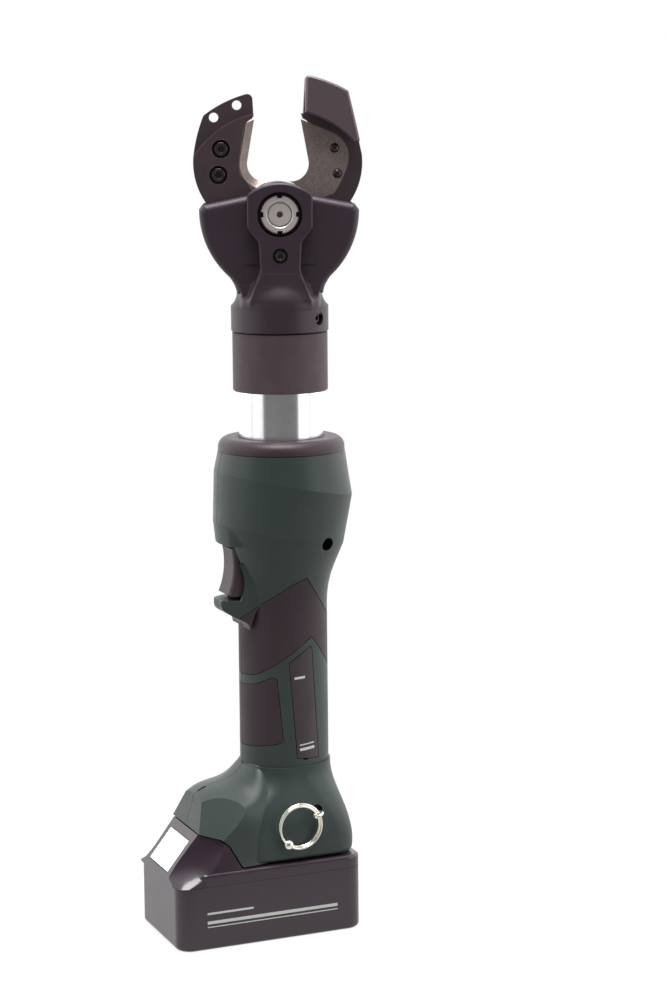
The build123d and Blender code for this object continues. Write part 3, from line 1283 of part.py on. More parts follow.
with BuildPart() as trigger_pin:
    with BuildSketch(Plane.XZ):
        with Locations(TRIGGER_PIVOT):
            Circle(TRIGGER_PIN_R)
    extrude(amount=cheek_y + CHEEK_T, both=True)
trigger_pin.part.label = "trigger_pin"
export_step(trigger_pin.part, "parts/trigger_pin.step")

# Trigger switch in front of the pump's foot
with BuildPart() as trigger_switch:
    with BuildSketch(Plane.XY.offset(SWITCH_LOW_Z)):
        with Locations((SWITCH_FRONT_X, 0)):
            Rectangle(
                -SWITCH_FRONT_X - PUMP_FOOT_R - PLAY, SWITCH_W, align=(Align.MIN, Align.CENTER)
            )
    extrude(amount=SWITCH_TOP_Z - SWITCH_LOW_Z)
    chamfer(trigger_switch.edges().filter_by(Axis.Y), length=FIT * 20)
trigger_switch.part.label = "trigger_switch"
export_step(trigger_switch.part, "parts/trigger_switch.step")

# Motor can with its rear bearing hub
with BuildPart() as motor:
    with BuildSketch(Plane.XY.offset(MOTOR_LOW_Z)):
        Circle(MOTOR_R)
    extrude(amount=MOTOR_H)
    chamfer(motor.faces().sort_by(Axis.Z)[0].edges(), length=MOTOR_HUB_H / 2)
    with BuildSketch(Plane.XY.offset(MOTOR_LOW_Z)):
        Circle(MOTOR_HUB_R)
    extrude(amount=-MOTOR_HUB_H)
motor.part.label = "motor"
export_step(motor.part, "parts/motor.step")

# Gear unit: closed case with two grooves and the bore for the eccentric shaft
with BuildPart() as gear_unit:
    with BuildSketch(Plane.XY.offset(GEAR_LOW_Z)):
        Circle(GEAR_R)
    extrude(amount=GEAR_H)
    for share in (1 / 3, 2 / 3):
        with BuildSketch(Plane.XY.offset(GEAR_LOW_Z + GEAR_H * share)):
            Circle(GEAR_R + PLAY)
            Circle(GEAR_R - GEAR_GROOVE, mode=Mode.SUBTRACT)
        extrude(amount=GEAR_GROOVE, both=True, mode=Mode.SUBTRACT)
    with BuildSketch(Plane.XY.offset(GEAR_TOP_Z)):
        Circle(SHAFT_R + FIT)
    extrude(amount=-SHAFT_DROP - PLAY, mode=Mode.SUBTRACT)
gear_unit.part.label = "gear_unit"
export_step(gear_unit.part, "parts/gear_unit.step")

# Pump block: foot with the eccentric's room, neck, body and the socket for the tube
with BuildPart() as pump_block:
    with BuildSketch(Plane.XZ):
        with BuildLine():
            Polyline(
                (0, PUMP_LOW_Z), (PUMP_FOOT_R, PUMP_LOW_Z), (PUMP_FOOT_R, PUMP_LOW_Z + PUMP_FOOT_H),
                (PUMP_NECK_R, PUMP_LOW_Z + PUMP_FOOT_H), (PUMP_NECK_R, PUMP_BODY_Z), (PUMP_R, PUMP_BODY_Z),
                (PUMP_R, PUMP_TOP_Z), (TUBE_R + SEAT, PUMP_TOP_Z), (TUBE_R + SEAT, TUBE_BOTTOM_Z - SEAT),
                (0, TUBE_BOTTOM_Z - SEAT), close=True,
            )
        make_face()
    revolve(axis=Axis.Z)
    with BuildSketch(Plane.XY.offset(PUMP_LOW_Z)):
        Circle(ECCENTRIC_ROOM_R)
    extrude(amount=ECCENTRIC_H + 4 * PLAY, mode=Mode.SUBTRACT)
    with BuildSketch(Plane.XY.offset(PUMP_LOW_Z)):
        Circle(SHAFT_R + FIT)
    extrude(amount=ECCENTRIC_H + 5 * PLAY + JOURNAL_H, mode=Mode.SUBTRACT)
    with BuildSketch(Plane.YZ):
        with Locations((0, PLUNGER_Z)):
            Circle(PLUNGER_R + FIT)
    extrude(amount=PUMP_FOOT_R, mode=Mode.SUBTRACT)
pump_block.part.label = "pump_block"
export_step(pump_block.part, "parts/pump_block.step")

with BuildPart() as eccentric_shaft:
    with BuildSketch(Plane.XY.offset(GEAR_TOP_Z - SHAFT_DROP)):
        Circle(SHAFT_R)
    extrude(amount=SHAFT_DROP + ECCENTRIC_Z - GEAR_TOP_Z + ECCENTRIC_H + JOURNAL_H)
    with BuildSketch(Plane.XY.offset(ECCENTRIC_Z)):
        with Locations((-ECCENTRIC_THROW, 0)):
            Circle(ECCENTRIC_R)
    extrude(amount=ECCENTRIC_H)
eccentric_shaft.part.label = "eccentric_shaft"
export_step(eccentric_shaft.part, "parts/eccentric_shaft.step")

with BuildPart() as pump_plunger:
    with BuildSketch(Plane.YZ.offset(ECCENTRIC_ROOM_R)):
        with Locations((0, PLUNGER_Z)):
            Circle(PLUNGER_R)
    extrude(amount=PLUNGER_L)
pump_plunger.part.label = "pump_plunger"
export_step(pump_plunger.part, "parts/pump_plunger.step")

# Oil bladder: open sleeve round the back of the pump's foot
with BuildPart() as oil_bladder:
    half_turn = radians(180 - BLADDER_OPEN / 2)
    start_dir = Vector(cos(half_turn), -sin(half_turn), 0)
    with BuildSketch(Plane(origin=(0, 0, 0), x_dir=start_dir, z_dir=start_dir.cross(Vector(0, 0, 1)))):
        with Locations((PUMP_FOOT_R + SEAT, PUMP_LOW_Z + PUMP_FOOT_H - BLADDER_H)):
            Rectangle(BLADDER_T, BLADDER_H, align=(Align.MIN, Align.MIN))
    revolve(axis=Axis.Z, revolution_arc=360 - BLADDER_OPEN)
    fillet(oil_bladder.edges().filter_by(GeomType.CIRCLE), radius=BLADDER_T / 4)
oil_bladder.part.label = "oil_bladder"
export_step(oil_bladder.part, "parts/oil_bladder.step")

# Terminal block in the floor of the foot, with two blades that enter the battery
with BuildPart() as terminal_block:
    with BuildSketch(Plane.XY.offset(RAIL_TOP_Z + PLAY)):
        with Locations((TERMINAL_X, 0)):
            Rectangle(TERMINAL_L, TERMINAL_W)
    extrude(amount=CAVITY_FLOOR_Z - RAIL_TOP_Z)
    with BuildSketch(Plane.XY.offset(CAVITY_FLOOR_Z + SEAT)):
        with Locations((TERMINAL_X, 0)):
            Rectangle(TERMINAL_L + 2 * TERMINAL_FLANGE, TERMINAL_W + 2 * TERMINAL_FLANGE)
    extrude(amount=TERMINAL_FLANGE_T)
terminal_block.part.label = "terminal_block"
export_step(terminal_block.part, "parts/terminal_block.step")

with BuildPart() as terminal_blades:
    with BuildSketch(Plane.XY.offset(RAIL_TOP_Z + PLAY - SEAT)):
        with Locations((TERMINAL_X, -TERMINAL_PITCH / 2), (TERMINAL_X, TERMINAL_PITCH / 2)):
            Rectangle(TERMINAL_BLADE_L, TERMINAL_BLADE_T)
    extrude(amount=-TERMINAL_BLADE_H)
terminal_blades.part.label = "terminal_blades"
export_step(terminal_blades.part, "parts/terminal_blades.step")

# Control board: potted tray on the terminal block
with BuildPart() as control_board:
    with BuildSketch(Plane.XY.offset(CAVITY_FLOOR_Z + TERMINAL_FLANGE_T + 2 * SEAT)):
        with Locations(((CAVITY_FRONT_X + CAVITY_BACK_X) / 2, 0)):
            RectangleRounded(BOARD_L, BOARD_W, WALL)
    extrude(amount=BOARD_T)
control_board.part.label = "control_board"
export_step(control_board.part, "parts/control_board.step")

# Lanyard ring: round wire closed by a bead, hanging in a small eye
RING_PLANE = Plane.XZ.offset(-RING_Y)
BEAD = RING_PLANE.from_local_coords(
    (
        RING_CENTRE[0] + RING_MEAN_R * cos(radians(BEAD_ANGLE)),
        RING_CENTRE[1] + RING_MEAN_R * sin(radians(BEAD_ANGLE)),
        0,
    )
)
with BuildPart() as lanyard_ring:
    with Locations(RING_PLANE * Pos(*RING_CENTRE)):
        Torus(RING_MEAN_R, RING_WIRE_R)
    with Locations(BEAD):
        Sphere(BEAD_R + SEAT, mode=Mode.SUBTRACT)
lanyard_ring.part.label = "lanyard_ring"
export_step(lanyard_ring.part, "parts/lanyard_ring.step")

with BuildPart() as ring_bead:
    with Locations(BEAD):
        Sphere(BEAD_R)
ring_bead.part.label = "ring_bead"
export_step(ring_bead.part, "parts/ring_bead.step")

with BuildPart() as ring_eye:
    eye_centre = RING_PLANE.from_local_coords((EYE[0], EYE[1], 0))
    along_ring = Vector(-sin(radians(RING_EYE_ANGLE)), 0, cos(radians(RING_EYE_ANGLE)))
    eye_r = EYE_BORE_R + EYE_WIRE_R
    with Locations(Plane(origin=eye_centre, x_dir=(0, 1, 0), z_dir=along_ring)):
        Torus(eye_r, EYE_WIRE_R)
    with BuildSketch(Plane.XZ.offset(-RING_Y - eye_r)):
        with Locations(EYE):
            Circle(EYE_STUD_R)
    extrude(amount=-(EYE_HOLE_Y - RING_Y - eye_r - SEAT))
ring_eye.part.label = "ring_eye"
export_step(ring_eye.part, "parts/ring_eye.step")

# Battery case: open box that holds the cells, with a screw boss in each corner
PACK_L = CELL_COLUMNS * CELL_PITCH + 2 * PACK_END
PACK_W = CELL_L + 2 * (PACK_WALL + PLAY)
PACK_FRONT_X = PACK_CENTRE_X - PACK_L / 2
PACK_INNER_L = PACK_L - 2 * PACK_WALL
PACK_INNER_W = PACK_W - 2 * PACK_WALL
PACK_SCREW_SPAN = (PACK_L - 2 * PACK_BOSS_INSET, PACK_W - 2 * PACK_BOSS_SIDE)
with BuildPart() as battery_case:
    with BuildSketch():
        with Locations((PACK_CENTRE_X, 0)):
            RectangleRounded(PACK_L, PACK_W, PACK_CORNER)
    extrude(amount=PACK_SEAM_Z)
    fillet(battery_case.faces().sort_by(Axis.Z)[0].edges(), radius=PACK_FOOT_ROUND)
    with BuildSketch(Plane.XY.offset(PACK_WALL)):
        with Locations((PACK_CENTRE_X, 0)):
            RectangleRounded(PACK_INNER_L, PACK_INNER_W, PACK_CORNER - PACK_WALL)
            with GridLocations(*PACK_SCREW_SPAN, 2, 2):
                Circle(PACK_BOSS_R, mode=Mode.SUBTRACT)
    extrude(amount=PACK_SEAM_Z, mode=Mode.SUBTRACT)
    with Locations(Plane(origin=(PACK_CENTRE_X, 0, 0), z_dir=(0, 0, -1))):
        with GridLocations(*PACK_SCREW_SPAN, 2, 2):
            sink_r = PACK_SCREW_HEAD_R + PLAY
            CounterBoreHole(PACK_SCREW_R + SEAT, sink_r, PACK_SCREW_SINK, depth=PACK_SEAM_Z)
battery_case.part.label = "battery_case"
export_step(battery_case.part, "parts/battery_case.step")

# Battery cells: two layers of round cells across the pack
with BuildPart() as battery_cells:
    layer_pitch = 2 * (CELL_R + SEAT)
    with BuildSketch(Plane.XZ):
        with Locations((PACK_CENTRE_X + CELL_SHIFT, PACK_WALL + layer_pitch)):
            with GridLocations(CELL_PITCH, layer_pitch, CELL_COLUMNS, 2):
                Circle(CELL_R)
    extrude(amount=CELL_L / 2, both=True)
battery_cells.part.label = "battery_cells"
export_step(battery_cells.part, "parts/battery_cells.step")

# Battery top: rim, slide rail, and the tower with the button shaft
TOP_LOW_Z = PACK_SEAM_Z + PACK_SEAM
TOWER_FOOT = (PACK_FRONT_X - TOWER_PROUD, TOWER_FOOT_Z)
TOWER_TOP = (TOE_TIP[0] - TOWER_GAP / 4, TOE_TIP[1] - TOWER_GAP)
TOWER_SLOPE = (TOWER_TOP[1] - TOWER_FOOT[1]) / (TOWER_TOP[0] - TOWER_FOOT[0])


def slope_z(x):
    """Height of the tower's slope at x."""
    return TOWER_FOOT[1] + TOWER_SLOPE * (x - TOWER_FOOT[0])


SHAFT_DROP_Z = BUTTON_T + BUTTON_TRAVEL + PLAY
SHAFT_LOW_Z = slope_z(BUTTON_LOW_X) - BUTTON_TRAVEL - PLAY
SPRING_TOP_Z = slope_z(BUTTON_SPRING_X - BUTTON_SPRING_R - PLAY) - BUTTON_CAP_T
CONTACT_FLOOR_Z = RAIL_TOP_Z + PLAY - SEAT - TERMINAL_BLADE_H - PLAY - CONTACT_T - SEAT
CONTACT_X = TERMINAL_X - TERMINAL_BLADE_L / 2 - PLAY

with BuildPart() as tower:
    for height, ridge_in, hollow_in, flank_in, hollow_back, flank_back in TOWER_RINGS:
        with BuildSketch(Plane.XY.offset(TOP_LOW_Z + height)):
            with BuildLine():
                front_x = TOWER_FOOT[0] + (TOP_LOW_Z + height - TOWER_FOOT_Z) / TOWER_SLOPE
                side_y = PACK_W / 2
                ridge_y, hollow_y, flank_y = side_y - ridge_in, side_y - hollow_in, side_y - flank_in
                Line((front_x, -ridge_y), (front_x, ridge_y))
                for side in (-1, 1):
                    flank = (front_x + flank_back, side * flank_y)
                    Spline((front_x, side * ridge_y), (front_x + hollow_back, side * hollow_y), flank)
                    Line(flank, (0, side * flank_y))
                Line((0, -flank_y), (0, flank_y))
            make_face()
    loft()
    with BuildSketch(Plane.XZ):
        with BuildLine():
            Polyline(
                (-PACK_L, TOP_LOW_Z), (-PACK_L, 2 * TOWER_TOP[1] - ARCH_TOP[1]), TOWER_TOP,
                (ARCH_TOP[0] - TOWER_GAP / 2, ARCH_TOP[1] - TOWER_GAP),
                (ARCH_TURN[0] - TOWER_GAP, ARCH_TURN[1] - TOWER_GAP / 2),
                (ARCH_END_X - TOWER_GAP, PACK_RIM_Z), (ARCH_END_X - TOWER_GAP, TOP_LOW_Z), close=True,
            )
        make_face()
    extrude(amount=PACK_W, both=True, mode=Mode.INTERSECT)
    with BuildSketch(Plane.XY.offset(TOP_LOW_Z)):
        with Locations((TOWER_FOOT[0], 0)):
            RectangleRounded(PACK_L, PACK_W, PACK_CORNER, align=(Align.MIN, Align.CENTER))
    extrude(amount=TOWER_TOP[1], mode=Mode.INTERSECT)

with BuildPart() as battery_top:
    with BuildSketch(Plane.XY.offset(TOP_LOW_Z)):
        with Locations((RIM_FRONT_X, 0)):
            RectangleRounded(PACK_L, PACK_W, RIM_CORNER, align=(Align.MIN, Align.CENTER))
        with Locations((PACK_CENTRE_X, 0)):
            RectangleRounded(PACK_L, PACK_W, PACK_CORNER, mode=Mode.INTERSECT)
    extrude(amount=PACK_RIM_Z - TOP_LOW_Z)
    fillet(battery_top.faces().sort_by(Axis.Z)[-1].edges(), radius=PACK_RIM_ROUND)
    add(tower.part)
    with BuildSketch(Plane.YZ.offset(RAIL_BACK_X)):
        with Locations((0, PACK_RIM_Z - PACK_WALL)):
            Rectangle(RAIL_NECK_W, RAIL_TOP_Z - PACK_RIM_Z + PACK_WALL, align=(Align.CENTER, Align.MIN))
        with Locations((0, RAIL_NECK_Z)):
            Rectangle(RAIL_HEAD_W, RAIL_TOP_Z - RAIL_NECK_Z, align=(Align.CENTER, Align.MIN))
    extrude(amount=ARCH_TURN[0] - RAIL_BACK_X)
    with BuildSketch(Plane.XZ):
        with BuildLine():
            Polyline(
                (BUTTON_LOW_X - PLAY, TOWER_TOP[1]), (BUTTON_LOW_X - PLAY, SHAFT_LOW_Z),
                (BUTTON_LOW_X + BUTTON_T / TOWER_SLOPE, SHAFT_LOW_Z),
                (BUTTON_TOP_X + PLAY, slope_z(BUTTON_TOP_X + PLAY) - SHAFT_DROP_Z),
                (BUTTON_TOP_X + PLAY, TOWER_TOP[1]), close=True,
            )
        make_face()
    extrude(amount=BUTTON_W / 2 + PLAY, both=True, mode=Mode.SUBTRACT)
    with BuildSketch(Plane.XY.offset(BUTTON_SPRING_LOW_Z)):
        with Locations((BUTTON_SPRING_X, 0)):
            Circle(BUTTON_SPRING_R + PLAY)
    extrude(amount=SPRING_TOP_Z - BUTTON_SPRING_LOW_Z, mode=Mode.SUBTRACT)
    with BuildSketch(Plane.XY.offset(TOP_LOW_Z)):
        with Locations((PACK_CENTRE_X + CELL_SHIFT, 0)):
            Rectangle(CELL_PITCH * (CELL_COLUMNS - 1) + CELL_ROOM * CELL_R, CELL_L + 2 * PLAY)
    extrude(amount=PACK_WALL + 2 * layer_pitch + PLAY - TOP_LOW_Z, mode=Mode.SUBTRACT)
    with BuildSketch(Plane.XY.offset(CONTACT_FLOOR_Z)):
        with Locations((CONTACT_X, -TERMINAL_PITCH / 2), (CONTACT_X, TERMINAL_PITCH / 2)):
            Rectangle(PACK_L, CONTACT_SLOT_W, align=(Align.MIN, Align.CENTER))
    extrude(amount=PACK_RIM_Z, mode=Mode.SUBTRACT)
    with Locations(Plane(origin=(PACK_CENTRE_X, 0, TOP_LOW_Z), z_dir=(0, 0, -1))):
        with GridLocations(*PACK_SCREW_SPAN, 2, 2):
            Hole(PACK_SCREW_R + SEAT, depth=PACK_SCREW_BITE + PLAY)
battery_top.part.label = "battery_top"
export_step(battery_top.part, "parts/battery_top.step")

with BuildPart() as battery_screws:
    with Locations(Plane(origin=(PACK_CENTRE_X, 0, PACK_SCREW_SINK - SEAT), z_dir=(0, 0, -1))):
        with GridLocations(*PACK_SCREW_SPAN, 2, 2):
            Cylinder(PACK_SCREW_HEAD_R, PACK_SCREW_HEAD_H, align=(Align.CENTER, Align.CENTER, Align.MIN))
            shank = TOP_LOW_Z + PACK_SCREW_BITE - PACK_SCREW_SINK
            Cylinder(PACK_SCREW_R, shank, align=(Align.CENTER, Align.CENTER, Align.MAX))
battery_screws.part.label = "battery_screws"
export_step(battery_screws.part, "parts/battery_screws.step")

# Spring contacts: one open clip in each slot of the rail
with BuildPart() as battery_contacts:
    leaf_y = TERMINAL_BLADE_T / 2 + PLAY
    leaf_h = TERMINAL_BLADE_H
    with BuildSketch(Plane.YZ.offset(CONTACT_X + PLAY)):
        for y in (-TERMINAL_PITCH / 2, TERMINAL_PITCH / 2):
            with Locations((y, CONTACT_FLOOR_Z + SEAT)):
                Rectangle(2 * (leaf_y + CONTACT_T), leaf_h, align=(Align.CENTER, Align.MIN))
            with Locations((y, CONTACT_FLOOR_Z + SEAT + CONTACT_T)):
                Rectangle(2 * leaf_y, leaf_h, align=(Align.CENTER, Align.MIN), mode=Mode.SUBTRACT)
    extrude(amount=TERMINAL_BLADE_L)
battery_contacts.part.label = "battery_contacts"
export_step(battery_contacts.part, "parts/battery_contacts.step")

# Release button: wedge with its face in the tower's slope, carried by a spring
with BuildPart() as battery_button:
    with BuildSketch(Plane.XZ):
        with BuildLine():
            Polyline(
                (BUTTON_LOW_X, slope_z(BUTTON_LOW_X)), (BUTTON_TOP_X, slope_z(BUTTON_TOP_X)),
                (BUTTON_TOP_X, slope_z(BUTTON_TOP_X) - BUTTON_T),
                (BUTTON_LOW_X + BUTTON_T / TOWER_SLOPE, slope_z(BUTTON_LOW_X)), close=True,
            )
        make_face()
    extrude(amount=BUTTON_W / 2, both=True)
    with BuildSketch(Plane.XY.offset(BUTTON_SPRING_LOW_Z)):
        with Locations((BUTTON_SPRING_X, 0)):
            Circle(BUTTON_SPRING_R + PLAY)
    extrude(amount=SPRING_TOP_Z - BUTTON_SPRING_LOW_Z, mode=Mode.SUBTRACT)
battery_button.part.label = "battery_button"
export_step(battery_button.part, "parts/battery_button.step")

with BuildPart() as button_spring:
    with BuildSketch(Plane.XY.offset(BUTTON_SPRING_LOW_Z + SEAT)):
        with Locations((BUTTON_SPRING_X, 0)):
            Circle(BUTTON_SPRING_R)
            Circle(BUTTON_SPRING_R - BUTTON_SPRING_WIRE, mode=Mode.SUBTRACT)
    extrude(amount=SPRING_TOP_Z - BUTTON_SPRING_LOW_Z - 2 * SEAT)
button_spring.part.label = "button_spring"
export_step(button_spring.part, "parts/button_spring.step")
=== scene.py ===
"""Looks of a cordless conductor cutter, laid out as a Blender add-on and run as a script."""
import math

import bpy
import numpy as np
from bpy.props import FloatProperty, FloatVectorProperty, IntProperty, PointerProperty
from mathutils import Matrix, Vector


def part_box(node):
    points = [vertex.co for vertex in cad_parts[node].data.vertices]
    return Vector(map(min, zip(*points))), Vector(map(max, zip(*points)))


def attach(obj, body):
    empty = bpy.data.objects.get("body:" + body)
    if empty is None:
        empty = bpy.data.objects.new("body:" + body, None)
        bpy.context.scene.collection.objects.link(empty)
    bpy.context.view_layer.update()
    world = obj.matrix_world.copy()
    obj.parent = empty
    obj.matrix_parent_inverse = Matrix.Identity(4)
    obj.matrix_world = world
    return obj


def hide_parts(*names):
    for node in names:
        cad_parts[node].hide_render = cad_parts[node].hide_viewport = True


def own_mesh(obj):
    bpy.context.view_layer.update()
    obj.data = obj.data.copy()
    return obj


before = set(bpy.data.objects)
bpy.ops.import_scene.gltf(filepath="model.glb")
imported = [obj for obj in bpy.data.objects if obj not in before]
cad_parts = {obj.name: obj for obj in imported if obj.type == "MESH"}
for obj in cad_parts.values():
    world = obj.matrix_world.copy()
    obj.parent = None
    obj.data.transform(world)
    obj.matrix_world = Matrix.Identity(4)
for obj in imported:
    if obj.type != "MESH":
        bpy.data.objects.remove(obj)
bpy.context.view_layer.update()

bl_info = {
    "name": "Conductor cutter",
    "version": (1, 0, 0),
    "blender": (4, 5, 0),
    "location": "View3D > Sidebar > Cutter",
    "description": "Materials, fine pieces and studio of a cordless conductor cutter",
    "category": "Object",
}

MM = 0.001

# The head's own axes: u across the jaws, v out of the front face, w up from the jaw pivot.
PIVOT_Z = 413.5 * MM
HEAD_TURN = math.radians(-20)
HEAD_U = np.array([math.cos(HEAD_TURN), math.sin(HEAD_TURN), 0.0])
HEAD_V = np.array([math.sin(HEAD_TURN), -math.cos(HEAD_TURN), 0.0])
UP = np.array([0.0, 0.0, 1.0])

# The photographed view: the lens's bearing round the tool, its pan, dip and slant, its distance and height, and its
# focal length in pixels of a picture that is 1000 pixels high.
BEARING, PAN, DIP, SLANT = (math.radians(angle) for angle in (21.844, 1.264, 8.986, -0.472))
LENS_DISTANCE, LENS_Z = 1346.626 * MM, 462.327 * MM
FOCAL, PICTURE_HEIGHT = 2370.763, 1000
SENSOR_HEIGHT = 36.0
FRONT = Vector((-math.sin(BEARING), -math.cos(BEARING), 0))
ASIDE = Vector((math.cos(BEARING), -math.sin(BEARING), 0))

# Sockets of the Mix node, several of which have the same name: its share, two levels, two colours and mixed colour.
SHARE, LEVEL_A, LEVEL_B, COLOUR_A, COLOUR_B, MIXED = 0, 2, 3, 6, 7, 2


def linear(code):
    """Linear RGB of an sRGB hex colour."""
    srgb = [int(code[i:i + 2], 16) / 255 for i in (1, 3, 5)]
    return tuple(c / 12.92 if c <= 0.04045 else ((c + 0.055) / 1.055) ** 2.4 for c in srgb)


# Shade in the narrow joints between pieces.
JOINT_SHADE = linear("#0B090A")


def tint(name, code, description):
    """Colour setting that starts from an sRGB hex value."""
    return FloatVectorProperty(
        name=name, description=description, subtype="COLOR", size=3, min=0, max=1, default=linear(code)
    )


class CutterColours(bpy.types.PropertyGroup):
    """Colours of the finishes."""

    housing: tint("Housing", "#2F3936", "Glass-filled nylon of the housing, grey green")
    rubber: tint("Rubber", "#35292F", "Thermoplastic rubber of the grip inlays, and the label's film")
    trim: tint("Trim", "#392C33", "Nylon of the nose ring and the trigger")
    head: tint("Head", "#352932", "Black oxide of the forged yoke")
    jaw: tint("Jaws", "#43363B", "Black oxide of the ground jaws")
    blade: tint("Blade", "#93847F", "Ground tool steel of the blades")
    battery: tint("Battery", "#2E212B", "ABS of the battery")
    button: tint("Button", "#F2F1F0", "ABS of the release button")
    collar: tint("Collar", "#4D4146", "Black oxide of the turned collar and the jaw's cap")
    print_grey: tint("Print", "#C4C6C2", "Pale ink of the plain bars and stripes")


class CutterSizes(bpy.types.PropertyGroup):
    """Sizes of the fine pieces."""

    ring_radius: FloatProperty(
        name="Ring radius", description="Mean radius of the lanyard ring", default=12.4 * MM, unit="LENGTH"
    )
    ring_wire: FloatProperty(
        name="Ring wire", description="Radius of each of the ring's two strands", default=0.68 * MM, unit="LENGTH"
    )
    lobes: IntProperty(name="Socket lobes", description="Lobes of the screw sockets", default=6, min=3, max=8)
    grain: FloatProperty(
        name="Housing grain", description="Width of the housing's moulded grain", default=0.7 * MM, unit="LENGTH"
    )


class CutterStage(bpy.types.PropertyGroup):
    """Light levels of the studio."""

    left: FloatProperty(
        name="Left", description="Tall soft box at the left, a little in front", default=4.6, unit="POWER"
    )
    right: FloatProperty(
        name="Right", description="Tall soft box at the right, a little in front", default=7.2, unit="POWER"
    )
    top: FloatProperty(name="Top", description="Soft box above", default=40.0, unit="POWER")
    rim: FloatProperty(
        name="Rim", description="Each of the two soft boxes beside the backdrop", default=2.2, unit="POWER"
    )
    ambient: FloatProperty(
        name="Ambient", description="Level of the room in front of the tool", default=0.19, min=0, max=1
    )
    backdrop: FloatProperty(
        name="Backdrop", description="Level of the backdrop behind the tool", default=1.4, min=0, max=3
    )
    shadow: FloatProperty(
        name="Shadow", description="Strength of the floor's shadow close to the tool", default=0.18, min=0, max=1
    )


def put(tree, kind, values=None, links=None, **settings):
    """Add a node with its settings, its constant inputs and its links."""
    node = tree.nodes.new(kind)
    for key, value in settings.items():
        setattr(node, key, value)
    for socket, value in (values or {}).items():
        node.inputs[socket].default_value = value
    for socket, source in (links or {}).items():
        tree.links.new(source, node.inputs[socket])
    return node


def shade(colour, level):
    """The colour made lighter or darker, with an opaque alpha."""
    return tuple(min(1.0, c * level) for c in colour[:3]) + (1.0,)


def begin(name):
    """Empty node material and its object coordinates."""
    material = bpy.data.materials.new(name)
    material.use_nodes = True
    material.node_tree.nodes.clear()
    place = put(material.node_tree, "ShaderNodeTexCoord").outputs["Object"]
    return material, material.node_tree, place


def close(tree, links, **values):
    """Principled surface from the given links and constant values, joined to the output."""
    named = {key.replace("_", " ").title().replace("Ior", "IOR"): value for key, value in values.items()}
    surface = put(tree, "ShaderNodeBsdfPrincipled", named, links)
    put(tree, "ShaderNodeOutputMaterial", links={"Surface": surface.outputs["BSDF"]})


def marked(tree, place, base, marks):
    """Base colour with each mark's colour laid where the distances in mm along its ways are all within their limits."""
    for colour, ranges in marks:
        share = None
        for way, low, high in ranges:
            along = put(tree, "ShaderNodeVectorMath", {1: tuple(way)}, {0: place}, operation="DOT_PRODUCT")
            inside = put(
                tree, "ShaderNodeMath", {1: (low + high) / 2 * MM, 2: (high - low) / 2 * MM},
                {0: along.outputs["Value"]}, operation="COMPARE",
            ).outputs[0]
            if share is not None:
                inside = put(tree, "ShaderNodeMath", links={0: share, 1: inside}, operation="MULTIPLY").outputs[0]
            share = inside
        base = put(
            tree, "ShaderNodeMix", {COLOUR_B: shade(colour, 1.0)}, {SHARE: share, COLOUR_A: base}, data_type="RGBA"
        ).outputs[MIXED]
    return base


def wear_and_glint_edges(tree, base, colour, radius, sharp, share):
    """Base colour with the edges painted another one: rubbed wear, and where it is bright on the screws and jaws,
    painted highlights as well. An edge is where the normal rounded over a radius turns from the face's own: the
    colour's share grows as the cosine of that turn falls to the one of a sharp edge."""
    rounded = put(tree, "ShaderNodeBevel", {"Radius": radius}, samples=4)
    plain = put(tree, "ShaderNodeNewGeometry")
    turn = put(
        tree, "ShaderNodeVectorMath",
        links={0: rounded.outputs["Normal"], 1: plain.outputs["Normal"]}, operation="DOT_PRODUCT",
    )
    edge = put(
        tree, "ShaderNodeMapRange", {"From Min": 0.985, "From Max": sharp, "To Min": 0.0, "To Max": share},
        {"Value": turn.outputs["Value"]},
    )
    return put(
        tree, "ShaderNodeMix", {COLOUR_B: colour}, {SHARE: edge.outputs["Result"], COLOUR_A: base}, data_type="RGBA"
    ).outputs[MIXED]


# A pixel of the picture is about 0.6 mm on the tool. Real mould grain, grit and lathe marks are a tenth to a third of
# that, so they are drawn at 0.4 to 1.5 mm, as coarse as they need to be to show.


def moulded(name, colour, roughness, grain, depth, wear=0.0, wear_level=2.4, marks=(), **values):
    """Moulded polymer: fine grain in the bump, soft cloudiness, and edges rubbed paler by use."""
    material, tree, place = begin(name)
    grit = put(tree, "ShaderNodeTexNoise", {"Scale": 1 / grain, "Detail": 3.0, "Roughness": 0.6}, {"Vector": place})
    cloud = put(tree, "ShaderNodeTexNoise", {"Scale": 1 / (22 * MM), "Detail": 4.0}, {"Vector": place})
    tone = put(
        tree, "ShaderNodeMix", {COLOUR_A: shade(colour, 0.86), COLOUR_B: shade(colour, 1.16)},
        {SHARE: cloud.outputs["Fac"]}, data_type="RGBA",
    )
    base = marked(tree, place, tone.outputs[MIXED], marks)
    if wear:
        base = wear_and_glint_edges(tree, base, shade(colour, wear_level), 0.7 * MM, 0.86, wear)
    gloss = put(
        tree, "ShaderNodeMapRange",
        {"From Min": 0.3, "From Max": 0.7, "To Min": roughness - 0.05, "To Max": roughness + 0.06},
        {"Value": cloud.outputs["Fac"]},
    )
    bump = put(tree, "ShaderNodeBump", {"Strength": 0.6, "Distance": depth}, {"Height": grit.outputs["Fac"]})
    close(
        tree, {"Base Color": base, "Roughness": gloss.outputs["Result"], "Normal": bump.outputs["Normal"]}, **values
    )
    return material


